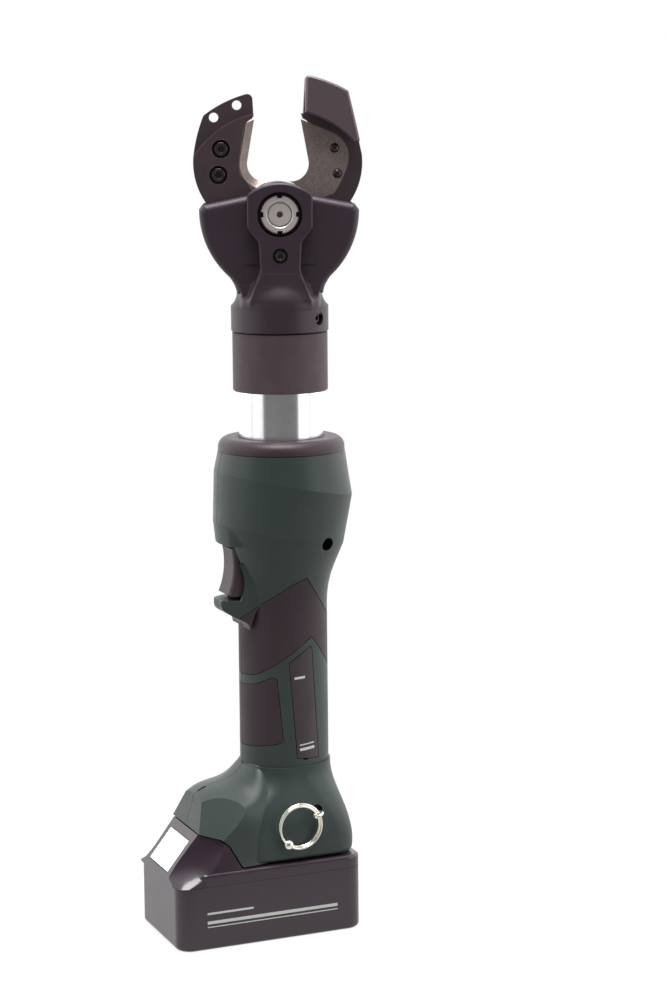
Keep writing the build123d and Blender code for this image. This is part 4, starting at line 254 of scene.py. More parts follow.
def metal(name, colour, roughness, grain, depth, stretch=(1, 1, 1), wear=0.0, wear_level=2.6, marks=(), **values):
    """Metal: cutter or grit marks stretched along one way, stained patches and bright edges, painted as rubbed wear
    and, where they are brightest, as highlights.
    """
    material, tree, place = begin(name)
    along = put(tree, "ShaderNodeMapping", {"Scale": stretch}, {"Vector": place})
    grit = put(
        tree, "ShaderNodeTexNoise", {"Scale": 1 / grain, "Detail": 4.0, "Roughness": 0.65},
        {"Vector": along.outputs["Vector"]},
    )
    stain = put(tree, "ShaderNodeTexNoise", {"Scale": 1 / (9 * MM), "Detail": 5.0}, {"Vector": place})
    tone = put(
        tree, "ShaderNodeMix", {COLOUR_A: shade(colour, 0.82), COLOUR_B: shade(colour, 1.18)},
        {SHARE: stain.outputs["Fac"]}, data_type="RGBA",
    )
    base = marked(tree, place, tone.outputs[MIXED], marks)
    if wear:
        base = wear_and_glint_edges(tree, base, shade(colour, wear_level), 0.6 * MM, 0.84, wear)
    gloss = put(
        tree, "ShaderNodeMapRange",
        {"From Min": 0.3, "From Max": 0.7, "To Min": roughness - 0.07, "To Max": roughness + 0.08},
        {"Value": grit.outputs["Fac"]},
    )
    bump = put(tree, "ShaderNodeBump", {"Strength": 0.5, "Distance": depth}, {"Height": grit.outputs["Fac"]})
    close(
        tree, {"Base Color": base, "Roughness": gloss.outputs["Result"], "Normal": bump.outputs["Normal"]}, **values
    )
    return material


def ground_blade_steel(colour):
    """Hardened tool steel, surface ground: grey brown with dark pits and pale scratches."""
    material, tree, place = begin("tool_steel_hardened_ground")
    pits = put(tree, "ShaderNodeTexVoronoi", {"Scale": 1 / (0.7 * MM), "Randomness": 1.0}, {"Vector": place})
    speck = put(
        tree, "ShaderNodeMapRange", {"From Min": 0.05, "From Max": 0.55}, {"Value": pits.outputs["Distance"]}
    )
    cloud = put(tree, "ShaderNodeTexNoise", {"Scale": 1 / (1.4 * MM), "Detail": 6.0}, {"Vector": place})
    tone = put(
        tree, "ShaderNodeMix", {COLOUR_A: shade(colour, 0.55), COLOUR_B: shade(colour, 1.35)},
        {SHARE: cloud.outputs["Fac"]}, data_type="RGBA",
    )
    spotted = put(
        tree, "ShaderNodeMix", {COLOUR_A: shade(colour, 0.5)},
        {SHARE: speck.outputs["Result"], COLOUR_B: tone.outputs[MIXED]}, data_type="RGBA",
    )
    bump = put(tree, "ShaderNodeBump", {"Strength": 0.5, "Distance": 0.12 * MM}, {"Height": cloud.outputs["Fac"]})
    close(
        tree, {"Base Color": spotted.outputs[MIXED], "Normal": bump.outputs["Normal"]},
        metallic=0.6, roughness=0.36,
    )
    return material


def turned_tube():
    """Hard chromed tube, fine turned and polished: bright, with faint rings round the axis."""
    material, tree, place = begin("chromed_steel_fine_turned")
    # The wave repeats after pi/10 of the length that its scale gives, so the rings are 0.75 mm apart.
    rings = put(
        tree, "ShaderNodeTexWave", {"Scale": 1 / (2.4 * MM), "Distortion": 0.6, "Detail": 2.0}, {"Vector": place},
        wave_type="BANDS", bands_direction="Z",
    )
    haze = put(tree, "ShaderNodeTexNoise", {"Scale": 1 / (6 * MM), "Detail": 4.0}, {"Vector": place})
    tone = put(
        tree, "ShaderNodeMix", {COLOUR_A: linear("#DCDDDF") + (1,), COLOUR_B: linear("#F0F0F1") + (1,)},
        {SHARE: haze.outputs["Fac"]}, data_type="RGBA",
    )
    bump = put(tree, "ShaderNodeBump", {"Strength": 0.12, "Distance": 0.05 * MM}, {"Height": rings.outputs["Fac"]})
    close(
        tree, {"Base Color": tone.outputs[MIXED], "Normal": bump.outputs["Normal"]}, metallic=1.0, roughness=0.18
    )
    return material


def studio_paper(shadow):
    """Seamless studio paper, matt: white to the eye and in reflections, with the tool's soft shadow close to it."""
    material, tree, place = begin("studio_paper_matt")
    ray = put(tree, "ShaderNodeLightPath").outputs
    # Reflections see the paper white round the tool and darker where it comes forward.
    forward = put(tree, "ShaderNodeVectorMath", {1: FRONT}, {0: place}, operation="DOT_PRODUCT")
    near = put(
        tree, "ShaderNodeMapRange", {"From Min": 0.06, "From Max": 0.3, "To Min": 1.0, "To Max": 0.2},
        {"Value": forward.outputs["Value"]}, interpolation_type="SMOOTHSTEP",
    )
    mirrored = put(
        tree, "ShaderNodeMath", links={0: ray["Is Glossy Ray"], 1: near.outputs["Result"]}, operation="MULTIPLY"
    )
    seen = put(
        tree, "ShaderNodeMath", links={0: ray["Is Camera Ray"], 1: mirrored.outputs[0]}, operation="MAXIMUM"
    )
    # The shadow is let through close to the tool and fades into white.
    away = put(tree, "ShaderNodeVectorMath", links={0: place}, operation="LENGTH")
    white = put(
        tree, "ShaderNodeMapRange", {"From Min": 0.08, "From Max": 0.34, "To Min": 1 - shadow, "To Max": 1.0},
        {"Value": away.outputs["Value"]}, interpolation_type="SMOOTHSTEP",
    )
    share = put(
        tree, "ShaderNodeMath", links={0: seen.outputs[0], 1: white.outputs["Result"]}, operation="MULTIPLY"
    )
    # The paper sends less light back up than the eye sees on it, so that the tool's undersides stay dark.
    tone = put(
        tree, "ShaderNodeMix", {COLOUR_A: linear("#959595") + (1,), COLOUR_B: linear("#F3F3F3") + (1,)},
        {SHARE: ray["Is Camera Ray"]}, data_type="RGBA",
    )
    matt = put(tree, "ShaderNodeBsdfDiffuse", links={"Color": tone.outputs[MIXED]})
    glow = put(tree, "ShaderNodeEmission", {"Color": (1, 1, 1, 1)}, {"Strength": seen.outputs[0]})
    both = put(
        tree, "ShaderNodeMixShader",
        links={0: share.outputs[0], 1: matt.outputs["BSDF"], 2: glow.outputs["Emission"]},
    )
    put(tree, "ShaderNodeOutputMaterial", links={"Surface": both.outputs["Shader"]})
    return material


def white_room(ambient, backdrop):
    """World of a white studio: the bright backdrop stands behind the tool and the dimmer room in front of it, in every
    ray but the camera's, which sees plain white."""
    world = bpy.data.worlds.new("white_room")
    world.use_nodes = True
    tree = world.node_tree
    tree.nodes.clear()
    ray = put(tree, "ShaderNodeLightPath").outputs
    way = put(tree, "ShaderNodeTexCoord").outputs["Generated"]
    behind = put(tree, "ShaderNodeVectorMath", {1: -FRONT}, {0: way}, operation="DOT_PRODUCT")
    level = put(
        tree, "ShaderNodeMapRange", {"From Min": -0.5, "From Max": 0.2, "To Min": ambient, "To Max": backdrop},
        {"Value": behind.outputs["Value"]}, interpolation_type="SMOOTHSTEP",
    )
    white = put(
        tree, "ShaderNodeMix", {LEVEL_B: 1.0}, {SHARE: ray["Is Camera Ray"], LEVEL_A: level.outputs["Result"]},
        data_type="FLOAT",
    )
    room = put(tree, "ShaderNodeBackground", {"Color": (1, 1, 1, 1)}, {"Strength": white.outputs[0]})
    put(tree, "ShaderNodeOutputWorld", links={"Surface": room.outputs["Background"]})
    return world


def bars(ink, turn, centre, rows):
    """Marks for plain printed bars (from, to, lowest, highest) in mm from a centre of the side view, turned by an
    angle."""
    across, upward = (math.cos(turn), 0.0, math.sin(turn)), (-math.sin(turn), 0.0, math.cos(turn))
    x, z = (np.dot(way, (centre[0], 0.0, centre[1])) for way in (across, upward))
    return [
        (ink, ((across, x + left, x + right), (upward, z + low, z + high))) for left, right, low, high in rows
    ]


def dress(material, *nodes):
    """Give the material to every slot of the named nodes."""
    for name in nodes:
        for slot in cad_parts[name].material_slots:
            slot.material = material


def tube_mesh(points, ends=None):
    """Vertices and blocks of faces of a grid of points whose columns go round. Its rows close in a point at either end,
    or go round as well where no ends are given."""
    rows, columns = points.shape[:2]
    vertices = points.reshape(-1, 3)
    index = np.arange(rows * columns).reshape(rows, columns)
    loop = np.hstack([index, index[:, :1]])
    if ends is None:
        loop = np.vstack([loop, loop[:1]])
    quads = np.stack([loop[:-1, :-1], loop[:-1, 1:], loop[1:, 1:], loop[1:, :-1]], -1).reshape(-1, 4)
    if ends is None:
        return vertices, [quads]
    first, last = (
        np.stack([row[:-1], row[1:], np.full(columns, rows * columns + tip)], -1)
        for tip, row in enumerate((loop[0], loop[-1]))
    )
    return np.vstack([vertices, ends]), [quads, first[:, ::-1], last]


def make_piece(name, shells, material, body, replaces=None):
    """One object of several shells, smooth shaded, that rides on a body and may stand for a CAD node."""
    vertices, faces, offset = [], [], 0
    for points, blocks in shells:
        vertices.append(points)
        for block in blocks:
            faces += (block + offset).tolist()
        offset += len(points)
    mesh = bpy.data.meshes.new(name)
    mesh.from_pydata(np.vstack(vertices).tolist(), [], faces)
    mesh.validate()
    mesh.shade_smooth()
    mesh.materials.append(material)
    piece = bpy.data.objects.new(name, mesh)
    bpy.context.scene.collection.objects.link(piece)
    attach(piece, body)
    if replaces:
        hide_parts(replaces)
    return piece


def unit(ways):
    """The ways made one long."""
    return ways / np.linalg.norm(ways, axis=-1, keepdims=True)


def wire_round(path, across, third, radius, sides):
    """Circles of a wire round its path, each in the plane of two ways: c(t) + r (a cos p + b sin p)."""
    p = np.linspace(0, 2 * np.pi, sides, endpoint=False)
    circle = across[:, None] * np.cos(p)[None, :, None] + third[:, None] * np.sin(p)[None, :, None]
    return path[:, None] + circle * radius


def split_ring(centre, radius, strand):
    """Two-strand ring in the side view. The strand's centre goes twice round the ring's circle while it turns once
    round the circle's own line, so the two turns lie opposite each other:
    c(t) = C + (R + s cos(t/2)) e(t) + s sin(t/2) y."""
    t = np.linspace(0, 4 * np.pi, 360, endpoint=False)
    out = np.stack([np.cos(t), 0 * t, np.sin(t)], -1)
    side = np.array([0.0, 1.0, 0.0])
    path = centre + out * (radius + strand * np.cos(t / 2))[:, None] + side * (strand * np.sin(t / 2))[:, None]
    ahead = unit(np.roll(path, -1, 0) - np.roll(path, 1, 0))
    across = unit(np.cross(ahead, side))
    return tube_mesh(wire_round(path, across, np.cross(ahead, across), strand, 14))


def coil_spring(node, wire, turns):
    """Compression spring that fills a CAD node's box, of a wire with the given radius. Its centre line rises evenly
    over its turns: c(t) = C + R (cos t, sin t, 0) + z(t)."""
    low, high = (np.array(corner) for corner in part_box(node))
    t = np.linspace(0, 2 * np.pi * turns, 48 * turns + 1)
    out = np.stack([np.cos(t), np.sin(t), 0 * t], -1)
    path = (low + high) / 2 + out * ((high - low)[0] / 2 - wire)
    path[:, 2] = low[2] + wire + (high[2] - low[2] - 2 * wire) * t / t[-1]
    third = np.cross(unit(np.gradient(path, axis=0)), out)
    return tube_mesh(wire_round(path, out, third, wire, 12), [path[0], path[-1]])


def socket_screw(seat, axis, size, lobes):
    """Button-head screw on a level axis, from its head's radius and height, shank's radius and length and socket's
    radius in mm. Rings of the radius R (1 + a cos(n p)) at heights h: socket floor, lobed socket wall, low dome, head
    side, seat and shank, closed by a point at each end."""
    head_r, head_h, shank_r, shank_l, socket_r = np.array(size) * MM
    first = np.cross(axis, UP)
    second = np.cross(axis, first)
    floor, brim, mouth_r = head_h * 0.05, head_h * 0.98, socket_r * 1.12
    dome = np.linspace(0, np.pi / 2, 7)
    dome_r = mouth_r + (head_r - mouth_r) * np.sin(dome)
    dome_h = head_h * (0.45 + 0.55 * np.cos(dome))
    radius = np.concatenate([[socket_r * 0.9, socket_r, socket_r], dome_r, [head_r, shank_r, shank_r]])
    height = np.concatenate([[floor, floor, brim], dome_h, [0.0, 0.0, -shank_l]])
    lobe = np.concatenate([[0.16, 0.16, 0.16, 0.05], np.zeros(len(radius) - 4)])
    p = np.linspace(0, 2 * np.pi, 72, endpoint=False)
    spread = radius[:, None] * (1 + lobe[:, None] * np.cos(lobes * p)[None])
    points = (
        seat + axis * height[:, None, None]
        + first * (spread * np.cos(p))[..., None] + second * (spread * np.sin(p))[..., None]
    )
    return tube_mesh(points, [seat + axis * height[i] for i in (0, -1)])


def on_head(u, v, w):
    """Point of the head from its distances to the jaw pivot in mm."""
    return (HEAD_U * u + HEAD_V * v + UP * w) * MM + UP * PIVOT_Z


def smooth_step(start, end, x):
    """0 before start, 1 after end, and 3 s^2 - 2 s^3 of the share s between them."""
    share = np.clip((x - start) / (end - start), 0, 1)
    return share ** 2 * (3 - 2 * share)


def soft_max(first, second, radius):
    """Larger of two heights with their corner filled: half of a + b + sqrt((a - b)^2 + r^2)."""
    return (first + second + np.sqrt((first - second) ** 2 + radius ** 2)) / 2


def yoke_flare(side):
    """Cast fillets from the yoke's rib and lobes into its round neck. Heights v over (u, w) in mm: the soft largest of
    the rib, the lobes and a flare turned round the axis, let into the CAD faces along its border, with a skin
    behind."""
    low, high = -56.0, -28.0
    neck_r, rib_v, rib_foot = 27.7, 24.0, -48.2
    lobe_v, lobe_foot, lobe_round = 17.0, -44.2, 4.0
    w = np.linspace(low, high, 57)[:, None]
    edge = np.interp(w, (lobe_foot, -41.5, -39.2, -36.0, -33.1, high), (24.2, 24.7, 25.6, 27.7, 30.2, 34.6))
    reach = np.minimum(edge, 27.0) - 0.2
    u = np.linspace(-1, 1, 91)[None] * reach
    # Faces of the CAD solid: rib plate, lobes with their rounding, turned waist and neck.
    rib_u = np.interp(w, (rib_foot, -31.0), (17.2, 11.2))
    rounding = (
        np.clip(np.abs(u) - edge + lobe_round, 0, lobe_round) ** 2
        + np.clip(lobe_foot + lobe_round - w, 0, lobe_round) ** 2
    )
    crown = lobe_v - lobe_round + np.sqrt(np.maximum(lobe_round ** 2 - rounding, 0))
    lobe = np.where(w > lobe_foot, crown, 0.0)
    groove = np.minimum(34.0 - np.sqrt(96.0 - np.clip(lobe_foot - w, 0, 7.4) ** 2), neck_r)
    neck = np.where(w < -42.2, np.sqrt(np.maximum(groove ** 2 - u ** 2, 1.0)), 0.0)
    plate = np.where((np.abs(u) < rib_u) & (w > rib_foot), rib_v, 0.0)
    solid = np.maximum(np.maximum(neck, plate), lobe)
    # The cast form over them: steep beside the rib and gentle over it.
    beside = smooth_step(rib_u - 3.0, rib_u + 1.0, np.abs(u))
    steep = 0.035 + 0.065 * beside
    flare = np.sqrt(np.maximum((neck_r - steep * np.maximum(w + 51.0, 0) ** 2) ** 2 - u ** 2, 1.0))
    rib = rib_v - 4.0 * np.maximum(np.abs(u) - rib_u, 0) - 1.2 * np.maximum(-47.8 - w, 0)
    cast = soft_max(soft_max(rib, lobe_v - np.maximum(-44.0 - w, 0), 1.0), flare, 2.0)
    # Full inside its border, where it stands 0.05 mm proud at least, and 0.5 mm deep in the solid at the border.
    inside = (
        (1 - smooth_step(reach - 3.0, reach - 0.1, np.abs(u)))
        * smooth_step(low, -52.0, w) * (1 - smooth_step(-34.0 - 6.0 * beside, -28.5 - 7.5 * beside, w))
    )
    v = solid + (np.maximum(cast, solid) - solid) * inside + 0.05 * inside - 0.5 * (1 - inside)
    skin = 1.0
    across = np.concatenate([u, u[:, ::-1]], 1)
    out = np.concatenate([v, v[:, ::-1] - skin], 1)
    points = on_head(across[..., None], side * out[..., None], np.broadcast_to(w, across.shape)[..., None])
    return tube_mesh(points if side < 0 else points[:, ::-1], [points[i].mean(0) for i in (0, -1)])


def trigger_brow():
    """Lip of the housing over the trigger, in mm: the front wall's oval x(y) carried down where the wall draws in, with
    a rounded lower edge, let into the wall at both ends. The lift at a height z is how far it stands out of the
    wall."""
    y = np.linspace(20.0, -20.0, 61)[:, None]
    oval = -2.45 - 37.85 * np.sqrt(1 - (y / 35.6) ** 2)
    share = 1 - smooth_step(11.0, 18.5, np.abs(y))
    # Down the front, round the lower edge and up inside the wall.
    front, inner = np.linspace(240.5, 228.0, 14), np.linspace(228.0, 239.5, 6)
    z = np.concatenate([front, [227.5, 227.1, 226.9, 226.8, 226.7, 226.6], inner])[None]
    lift = np.concatenate([0.26 * (239.6 - front) - 0.3, [2.8, 2.6, 2.2, 1.1, -0.1, -1.1], np.full(6, -1.2)])[None]
    wall = oval + 0.37 * np.maximum(239.0 - z, 0)
    x = wall - np.where(lift > -1.0, share * (lift + 0.3) - 0.3, lift)
    points = np.stack(np.broadcast_arrays(x, y, z), -1) * MM
    return tube_mesh(points, [points[i].mean(0) for i in (0, -1)])


class CUTTER_OT_housing(bpy.types.Operator):
    """Give the housing halves, nose ring, trigger and lamp their finishes and make the lip over the trigger"""

    bl_idname = "cutter.housing"
    bl_label = "Housing"

    def execute(self, context):
        colours, sizes = context.scene.cutter_colours, context.scene.cutter_sizes
        # The band's rubber runs on over the finger hook's root, below the line of the band's upper edge, with painted
        # shade along that line as a joint.
        edge_way, edge, half_joint = (-0.68, 0.0, 1.0), 206.5, 0.3
        root = (((1, 0, 0), -60.0, -20.5), (UP, 176.0, 200.0))
        hook_skin = (
            (tuple(colours.rubber), ((edge_way, 0.0, edge),) + root),
            (JOINT_SHADE, ((edge_way, edge - half_joint, edge + half_joint),) + root),
        )
        # Spark-eroded mould: an even fine grain that breaks the lamps' reflection into a soft satin sheen.
        nylon = moulded(
            "glass_filled_nylon_spark_grained", tuple(colours.housing), roughness=0.4, grain=sizes.grain,
            depth=0.06 * MM, wear=0.5, wear_level=2.2, marks=hook_skin, specular_ior_level=0.36, ior=1.5,
        )
        dress(nylon, "left_shell", "right_shell")
        make_piece("trigger_brow", [trigger_brow()], nylon, "handle")
        # Smoother mould faces: a tighter highlight than the housing has, and painted shade in the joint under the nose
        # ring.
        trim = moulded(
            "nylon_moulded_satin", tuple(colours.trim), roughness=0.4, grain=0.9 * MM, depth=0.03 * MM, wear=0.5,
            specular_ior_level=0.3, marks=((JOINT_SHADE, ((UP, 276.0, 279.8),)),),
        )
        dress(trim, "nose_ring", "trigger")
        # Smoked polycarbonate from a polished mould: a small dark window with a clear gloss.
        lens = moulded(
            "polycarbonate_moulded_smoked", linear("#4A4E4C"), roughness=0.22, grain=1.2 * MM, depth=0.03 * MM,
            coat_weight=0.6,
        )
        dress(lens, "toe_lamp")
        return {"FINISHED"}


class CUTTER_OT_grips(bpy.types.Operator):
    """Give the rubber inlays and the label plate their finishes"""

    bl_idname = "cutter.grips"
    bl_label = "Grip inlays"

    def execute(self, context):
        colours = context.scene.cutter_colours
        # Overmoulded rubber: matt, a little sheen at grazing light, slight skin texture.
        rubber = moulded(
            "thermoplastic_rubber_overmoulded", tuple(colours.rubber), roughness=0.52, grain=0.8 * MM,
            depth=0.05 * MM, wear=0.35, specular_ior_level=0.24, sheen_weight=0.06, sheen_roughness=0.5,
        )
        dress(rubber, "grip_band_left", "grip_band_right", "front_pad_left", "front_pad_right")
        # Printed polyester film: smooth satin with plain pale bars.
        film = moulded(
            "polyester_film_printed", tuple(colours.rubber), roughness=0.3, grain=0.6 * MM, depth=0.02 * MM,
            marks=bars(
                tuple(colours.print_grey), math.radians(4.0), (3.4, 131.0),
                ((-5.0, 4.6, -24.0, -22.4), (-5.0, 4.6, -20.8, -20.1), (-5.0, 1.6, 18.4, 19.8)),
            ),
        )
        dress(film, "label_plate")
        return {"FINISHED"}


class CUTTER_OT_head(bpy.types.Operator):
    """Give the yoke, collar, jaws, blades and pivot their finishes and make the cast fillets and socket screws"""

    bl_idname = "cutter.head"
    bl_label = "Cutting head"

    def execute(self, context):
        colours, lobes = context.scene.cutter_colours, context.scene.cutter_sizes.lobes
        # Shaded joint between the neck and the collar.
        joint = ((JOINT_SHADE, ((UP, 346.6, 347.7),)),)
        # Forged and shot-blasted steel with black oxide: even dull black, edges rubbed to grey.
        oxide = metal(
            "forged_steel_black_oxide", tuple(colours.head), roughness=0.44, grain=0.8 * MM, depth=0.05 * MM,
            wear=0.6, wear_level=2.2, marks=joint, metallic=0.35, specular_ior_level=0.5,
        )
        dress(oxide, "head_yoke")
        make_piece("yoke_flares", [yoke_flare(1), yoke_flare(-1)], oxide, "head")
        # The jaws are ground before the oxide bath: a little paler, with thin bright edges painted as highlights and
        # wear.
        ground = {
            "roughness": 0.4, "grain": 0.6 * MM, "depth": 0.03 * MM, "wear": 0.9, "wear_level": 4.0, "metallic": 0.35,
        }
        dress(metal("forged_steel_ground_black_oxide", tuple(colours.jaw), **ground), "tongue_jaw")
        # The cap on the guide jaw's front is palest: the collar's colour, lightened.
        cap = ((shade(colours.collar, 1.3), ((HEAD_V, 3.9, 20.0),)),)
        dress(metal("forged_steel_black_oxide_pale_cap", tuple(colours.jaw), marks=cap, **ground), "guide_jaw")
        # Turned before the oxide bath: paler and smoother, with the marks running round the axis.
        turned = metal(
            "steel_turned_black_oxide", tuple(colours.collar), roughness=0.5, grain=0.9 * MM, depth=0.04 * MM,
            stretch=(0.3, 0.3, 2.5), wear=0.6, wear_level=2.2, marks=joint, metallic=0.15, specular_ior_level=0.18,
        )
        dress(turned, "swivel_collar")
        dress(ground_blade_steel(tuple(colours.blade)), "tongue_blade", "guide_blade")
        # Machined alloy steel: warm grey with cutter marks, brightest at its worn edges.
        steel = metal(
            "alloy_steel_machined", linear("#C2BAB7"), roughness=0.36, grain=0.5 * MM, depth=0.06 * MM,
            wear=0.6, wear_level=1.6, metallic=0.6,
        )
        dress(steel, "pivot_bolt", "pivot_nut", "drive_pin", "ram_rod", "ram_piston", "trigger_pin")
        # Hardened and blackened screws: dark and shiny, with the edges round the sockets painted bright as glints and
        # wear.
        black = metal(
            "screw_steel_black_oxide", linear("#453C3E"), roughness=0.22, grain=0.4 * MM, depth=0.02 * MM,
            wear=0.9, wear_level=5.0, metallic=0.85,
        )
        dress(black, "housing_screws", "battery_screws")
        # Each set of screws: its body, the node that it stands for, its size, and the seat and axis of each screw.
        outward = [
            np.array([math.sin(turn), -math.cos(turn), 0.0])
            for turn in (math.radians(52.0) + HEAD_TURN, math.radians(232.0) + HEAD_TURN)
        ]
        sets = [
            (
                "rib_socket_screws", "head", "rib_screws", (3.5, 2.0, 1.9, 3.6, 1.7),
                [(on_head(0, side * 21.4, -22.9), HEAD_V * side) for side in (1, -1)],
            ),
            (
                "neck_socket_screws", "head", "neck_screws", (3.1, 2.2, 1.48, 2.8, 1.6),
                [(on_head(0, 0, -58.3) + way * 23.7 * MM, way) for way in outward],
            ),
        ] + [
            (
                jaw + "_jaw_socket_screws", jaw + "_jaw", jaw + "_blade_screws", (4.3, 2.9, 2.7, 6.2, 2.2),
                [(on_head(-side * u, side * 6.5, w), HEAD_V * side) for u, w in ((32.0, 36.2), (33.6, 21.9))],
            )
            for jaw, side in (("tongue", 1), ("guide", -1))
        ]
        for name, body, node, size, seats in sets:
            screws = [socket_screw(seat, axis, size, lobes) for seat, axis in seats]
            make_piece(name, screws, black, body, node)
        return {"FINISHED"}


class CUTTER_OT_cylinder(bpy.types.Operator):
    """Give the bright tube and the inner pieces their finishes and make the two springs"""

    bl_idname = "cutter.cylinder"
    bl_label = "Cylinder"

    def execute(self, context):
        dress(turned_tube(), "cylinder_tube")
        # Turned bronze: warm yellow brown with a soft shine.
        bronze = metal(
            "bearing_bronze_turned", linear("#A77F45"), roughness=0.35, grain=0.5 * MM, depth=0.03 * MM, metallic=1.0
        )
        dress(bronze, "rod_guide", "terminal_blades", "battery_contacts")
        # Drawn spring steel: grey and smooth, with a long highlight along the wire.
        spring = metal(
            "spring_steel_drawn", linear("#7E7E82"), roughness=0.3, grain=0.4 * MM, depth=0.02 * MM, metallic=1.0
        )
        dress(spring, "retaining_ring")
        # The springs of the ram and of the button, each filling its node's box.
        turns, room = 5, 0.1 * MM
        for node, body, joint, travel, fixed, wire in (
            ("ram_spring", "head", "ram_stroke", 13.0 * MM, 1, 1.1 * MM),
            ("button_spring", "battery", "button_press", 3.0 * MM, 0, 0.35 * MM),
        ):
            piece = make_piece(node + "_coil", [coil_spring(node, wire, turns)], spring, body, node)
            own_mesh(piece)
        # Nitrile rubber: dull black.
        nitrile = moulded("nitrile_rubber_moulded", linear("#1F1E1F"), roughness=0.5, grain=0.9 * MM, depth=0.03 * MM)
        dress(nitrile, "piston_seal", "oil_bladder")
        # Die-cast aluminium: pale grey with a fine rough skin.
        cast = metal(
            "aluminium_die_cast", linear("#A4A6A8"), roughness=0.42, grain=0.8 * MM, depth=0.04 * MM, metallic=1.0
        )
        dress(cast, "pump_block", "battery_cells")
        # Zinc plating: cool grey with a soft shine.
        plated = metal(
            "steel_zinc_plated", linear("#8F9092"), roughness=0.33, grain=0.6 * MM, depth=0.03 * MM, metallic=1.0
        )
        dress(plated, "motor", "gear_unit", "eccentric_shaft", "pump_plunger")
        # Plain moulded nylon: black with a satin skin.
        inner = moulded("nylon_moulded_black", linear("#232224"), roughness=0.42, grain=0.8 * MM, depth=0.03 * MM)
        dress(inner, "trigger_switch", "terminal_block")
        # Board potted in resin: dark green and glossy, with slow ripples.
        potting = moulded("epoxy_potted_board", linear("#20402D"), roughness=0.28, grain=1.5 * MM, depth=0.05 * MM)
        dress(potting, "control_board")
        return {"FINISHED"}


class CUTTER_OT_lanyard(bpy.types.Operator):
    """Make the two-strand lanyard ring and finish its bead and eye"""

    bl_idname = "cutter.lanyard"
    bl_label = "Lanyard ring"

    def execute(self, context):
        sizes = context.scene.cutter_sizes
        # Nickel plating on drawn wire: a warm white mirror that shows the room in thin lines.
        nickel = metal(
            "spring_wire_nickel_plated", linear("#F2EDDF"), roughness=0.2, grain=0.5 * MM, depth=0.01 * MM,
            metallic=1.0,
        )
        dress(nickel, "ring_bead", "ring_eye")
        centre = np.array([-5.3, -36.1, 66.0]) * MM
        ring = split_ring(centre, sizes.ring_radius, sizes.ring_wire)
        make_piece("split_ring", [ring], nickel, "lanyard", "lanyard_ring")
        return {"FINISHED"}


class CUTTER_OT_battery(bpy.types.Operator):
    """Give the battery and its release button their finishes"""

    bl_idname = "cutter.battery"
    bl_label = "Battery"

    def execute(self, context):
        colours = context.scene.cutter_colours
        # Polished mould: darker and glossier than the housing, with plain pale stripes on its sides.
        case = moulded(
            "abs_moulded_gloss", tuple(colours.battery), roughness=0.2, grain=0.6 * MM, depth=0.012 * MM, wear=0.4,
            specular_ior_level=0.45, coat_weight=0.2, coat_roughness=0.06, coat_ior=1.65,
            marks=bars(
                tuple(colours.print_grey), 0.0, (-22.4, 18.0),
                ((-40.0, 40.0, -2.6, -0.8), (-40.0, 40.0, -4.6, -4.0), (-40.0, -12.0, 3.0, 4.2)),
            ),
        )
        dress(case, "battery_case", "battery_top")
        # White ABS from a smooth mould: clean and bright, with a soft highlight.
        button = moulded(
            "abs_moulded_white", tuple(colours.button), roughness=0.3, grain=0.9 * MM, depth=0.02 * MM,
            specular_ior_level=0.5,
        )
        dress(button, "battery_button")
        return {"FINISHED"}


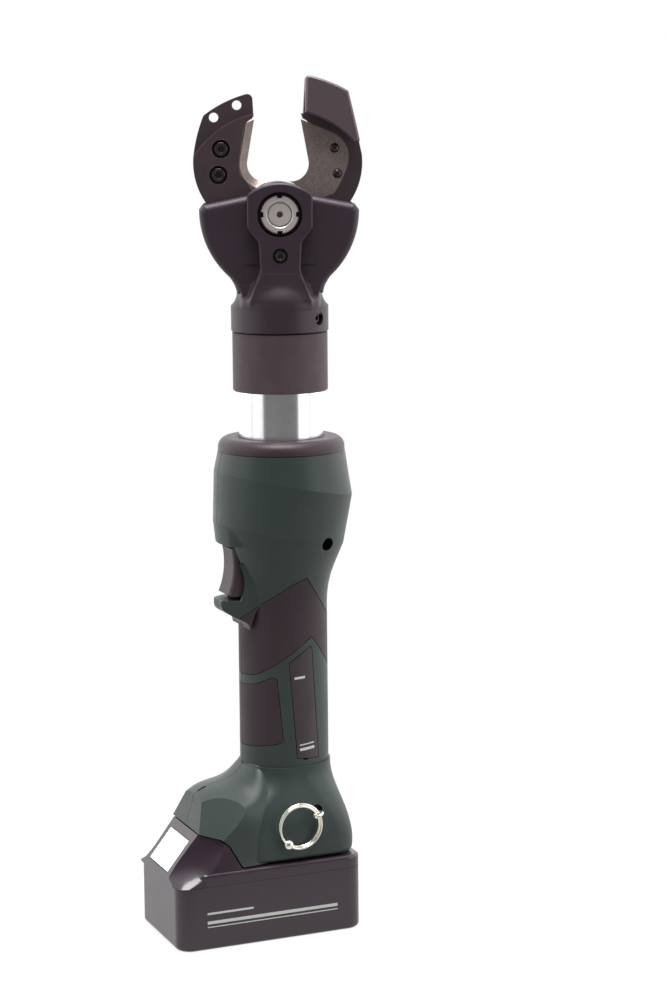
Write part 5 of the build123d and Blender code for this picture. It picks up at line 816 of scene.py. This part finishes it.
class CUTTER_OT_stage(bpy.types.Operator):
    """Make the pale floor, the soft lamps, the white room and the camera"""

    bl_idname = "cutter.stage"
    bl_label = "Studio"

    def execute(self, context):
        scene, levels = context.scene, context.scene.cutter_stage
        scene.view_settings.view_transform = "Standard"
        scene.world = white_room(levels.ambient, levels.backdrop)

        reach = 1.1
        corners = [(-reach, -reach, 0), (reach, -reach, 0), (reach, reach, 0), (-reach, reach, 0)]
        mesh = bpy.data.meshes.new("floor")
        mesh.from_pydata(corners, [], [(0, 1, 2, 3)])
        mesh.materials.append(studio_paper(levels.shadow))
        floor = bpy.data.objects.new("floor", mesh)
        scene.collection.objects.link(floor)

        # Each soft box in metres: how far it stands to the front, aside and up, its width and height, and its power.
        aim = Vector((0, 0, 0.26))
        for name, ahead, aside, height, size, power in (
            ("left_box", 0.65, -1.39, 0.5, (0.9, 1.5), levels.left),
            ("right_box", 0.65, 1.39, 0.5, (0.9, 1.5), levels.right),
            ("top_box", 0.3, 0.0, 1.7, (1.0, 1.0), levels.top),
            ("left_rim", -0.5, -1.25, 0.45, (0.9, 1.3), levels.rim),
            ("right_rim", -0.5, 1.25, 0.45, (0.9, 1.3), levels.rim),
        ):
            lamp = bpy.data.lights.new(name, "AREA")
            lamp.shape = "RECTANGLE"
            lamp.size, lamp.size_y = size
            lamp.energy = power
            holder = bpy.data.objects.new(name, lamp)
            scene.collection.objects.link(holder)
            holder.location = FRONT * ahead + ASIDE * aside + Vector((0, 0, height))
            holder.rotation_euler = (aim - holder.location).to_track_quat("-Z", "Y").to_euler()

        # The line of sight from the heading and the dip, then the slant about it.
        heading = BEARING + PAN
        sight = Vector((math.sin(heading) * math.cos(DIP), math.cos(heading) * math.cos(DIP), -math.sin(DIP)))
        right = Vector((math.cos(heading), -math.sin(heading), 0))
        up = right.cross(sight)
        level = right * math.cos(SLANT) + up * math.sin(SLANT)
        upright = up * math.cos(SLANT) - right * math.sin(SLANT)
        camera = bpy.data.cameras.new("camera")
        camera.sensor_fit = "VERTICAL"
        camera.sensor_height = SENSOR_HEIGHT
        camera.lens = SENSOR_HEIGHT * FOCAL / PICTURE_HEIGHT
        eye = bpy.data.objects.new("camera", camera)
        scene.collection.objects.link(eye)
        eye.matrix_world = Matrix((
            (level.x, upright.x, -sight.x, -LENS_DISTANCE * math.sin(BEARING)),
            (level.y, upright.y, -sight.y, -LENS_DISTANCE * math.cos(BEARING)),
            (level.z, upright.z, -sight.z, LENS_Z),
            (0, 0, 0, 1),
        ))
        scene.camera = eye
        return {"FINISHED"}


STEPS = (
    CUTTER_OT_housing, CUTTER_OT_grips, CUTTER_OT_head, CUTTER_OT_cylinder, CUTTER_OT_lanyard, CUTTER_OT_battery,
    CUTTER_OT_stage,
)


class CUTTER_PT_panel(bpy.types.Panel):
    """Settings and steps of the cutter's looks"""

    bl_label = "Conductor cutter"
    bl_space_type = "VIEW_3D"
    bl_region_type = "UI"
    bl_category = "Cutter"

    def draw(self, context):
        for group in (context.scene.cutter_colours, context.scene.cutter_sizes, context.scene.cutter_stage):
            column = self.layout.column()
            for name in group.__annotations__:
                column.prop(group, name)
        for step in STEPS:
            self.layout.operator(step.bl_idname)


CLASSES = (CutterColours, CutterSizes, CutterStage) + STEPS + (CUTTER_PT_panel,)


def register():
    """Register the classes and hang the settings on the scene."""
    for each in CLASSES:
        bpy.utils.register_class(each)
    bpy.types.Scene.cutter_colours = PointerProperty(type=CutterColours)
    bpy.types.Scene.cutter_sizes = PointerProperty(type=CutterSizes)
    bpy.types.Scene.cutter_stage = PointerProperty(type=CutterStage)


def unregister():
    """Take the settings off the scene and unregister the classes."""
    for name in ("cutter_colours", "cutter_sizes", "cutter_stage"):
        delattr(bpy.types.Scene, name)
    for each in reversed(CLASSES):
        bpy.utils.unregister_class(each)


def main():
    """Register and run every step in order."""
    register()
    bpy.ops.cutter.housing()
    bpy.ops.cutter.grips()
    bpy.ops.cutter.head()
    bpy.ops.cutter.cylinder()
    bpy.ops.cutter.lanyard()
    bpy.ops.cutter.battery()
    bpy.ops.cutter.stage()


if __name__ == "__main__":
    main()
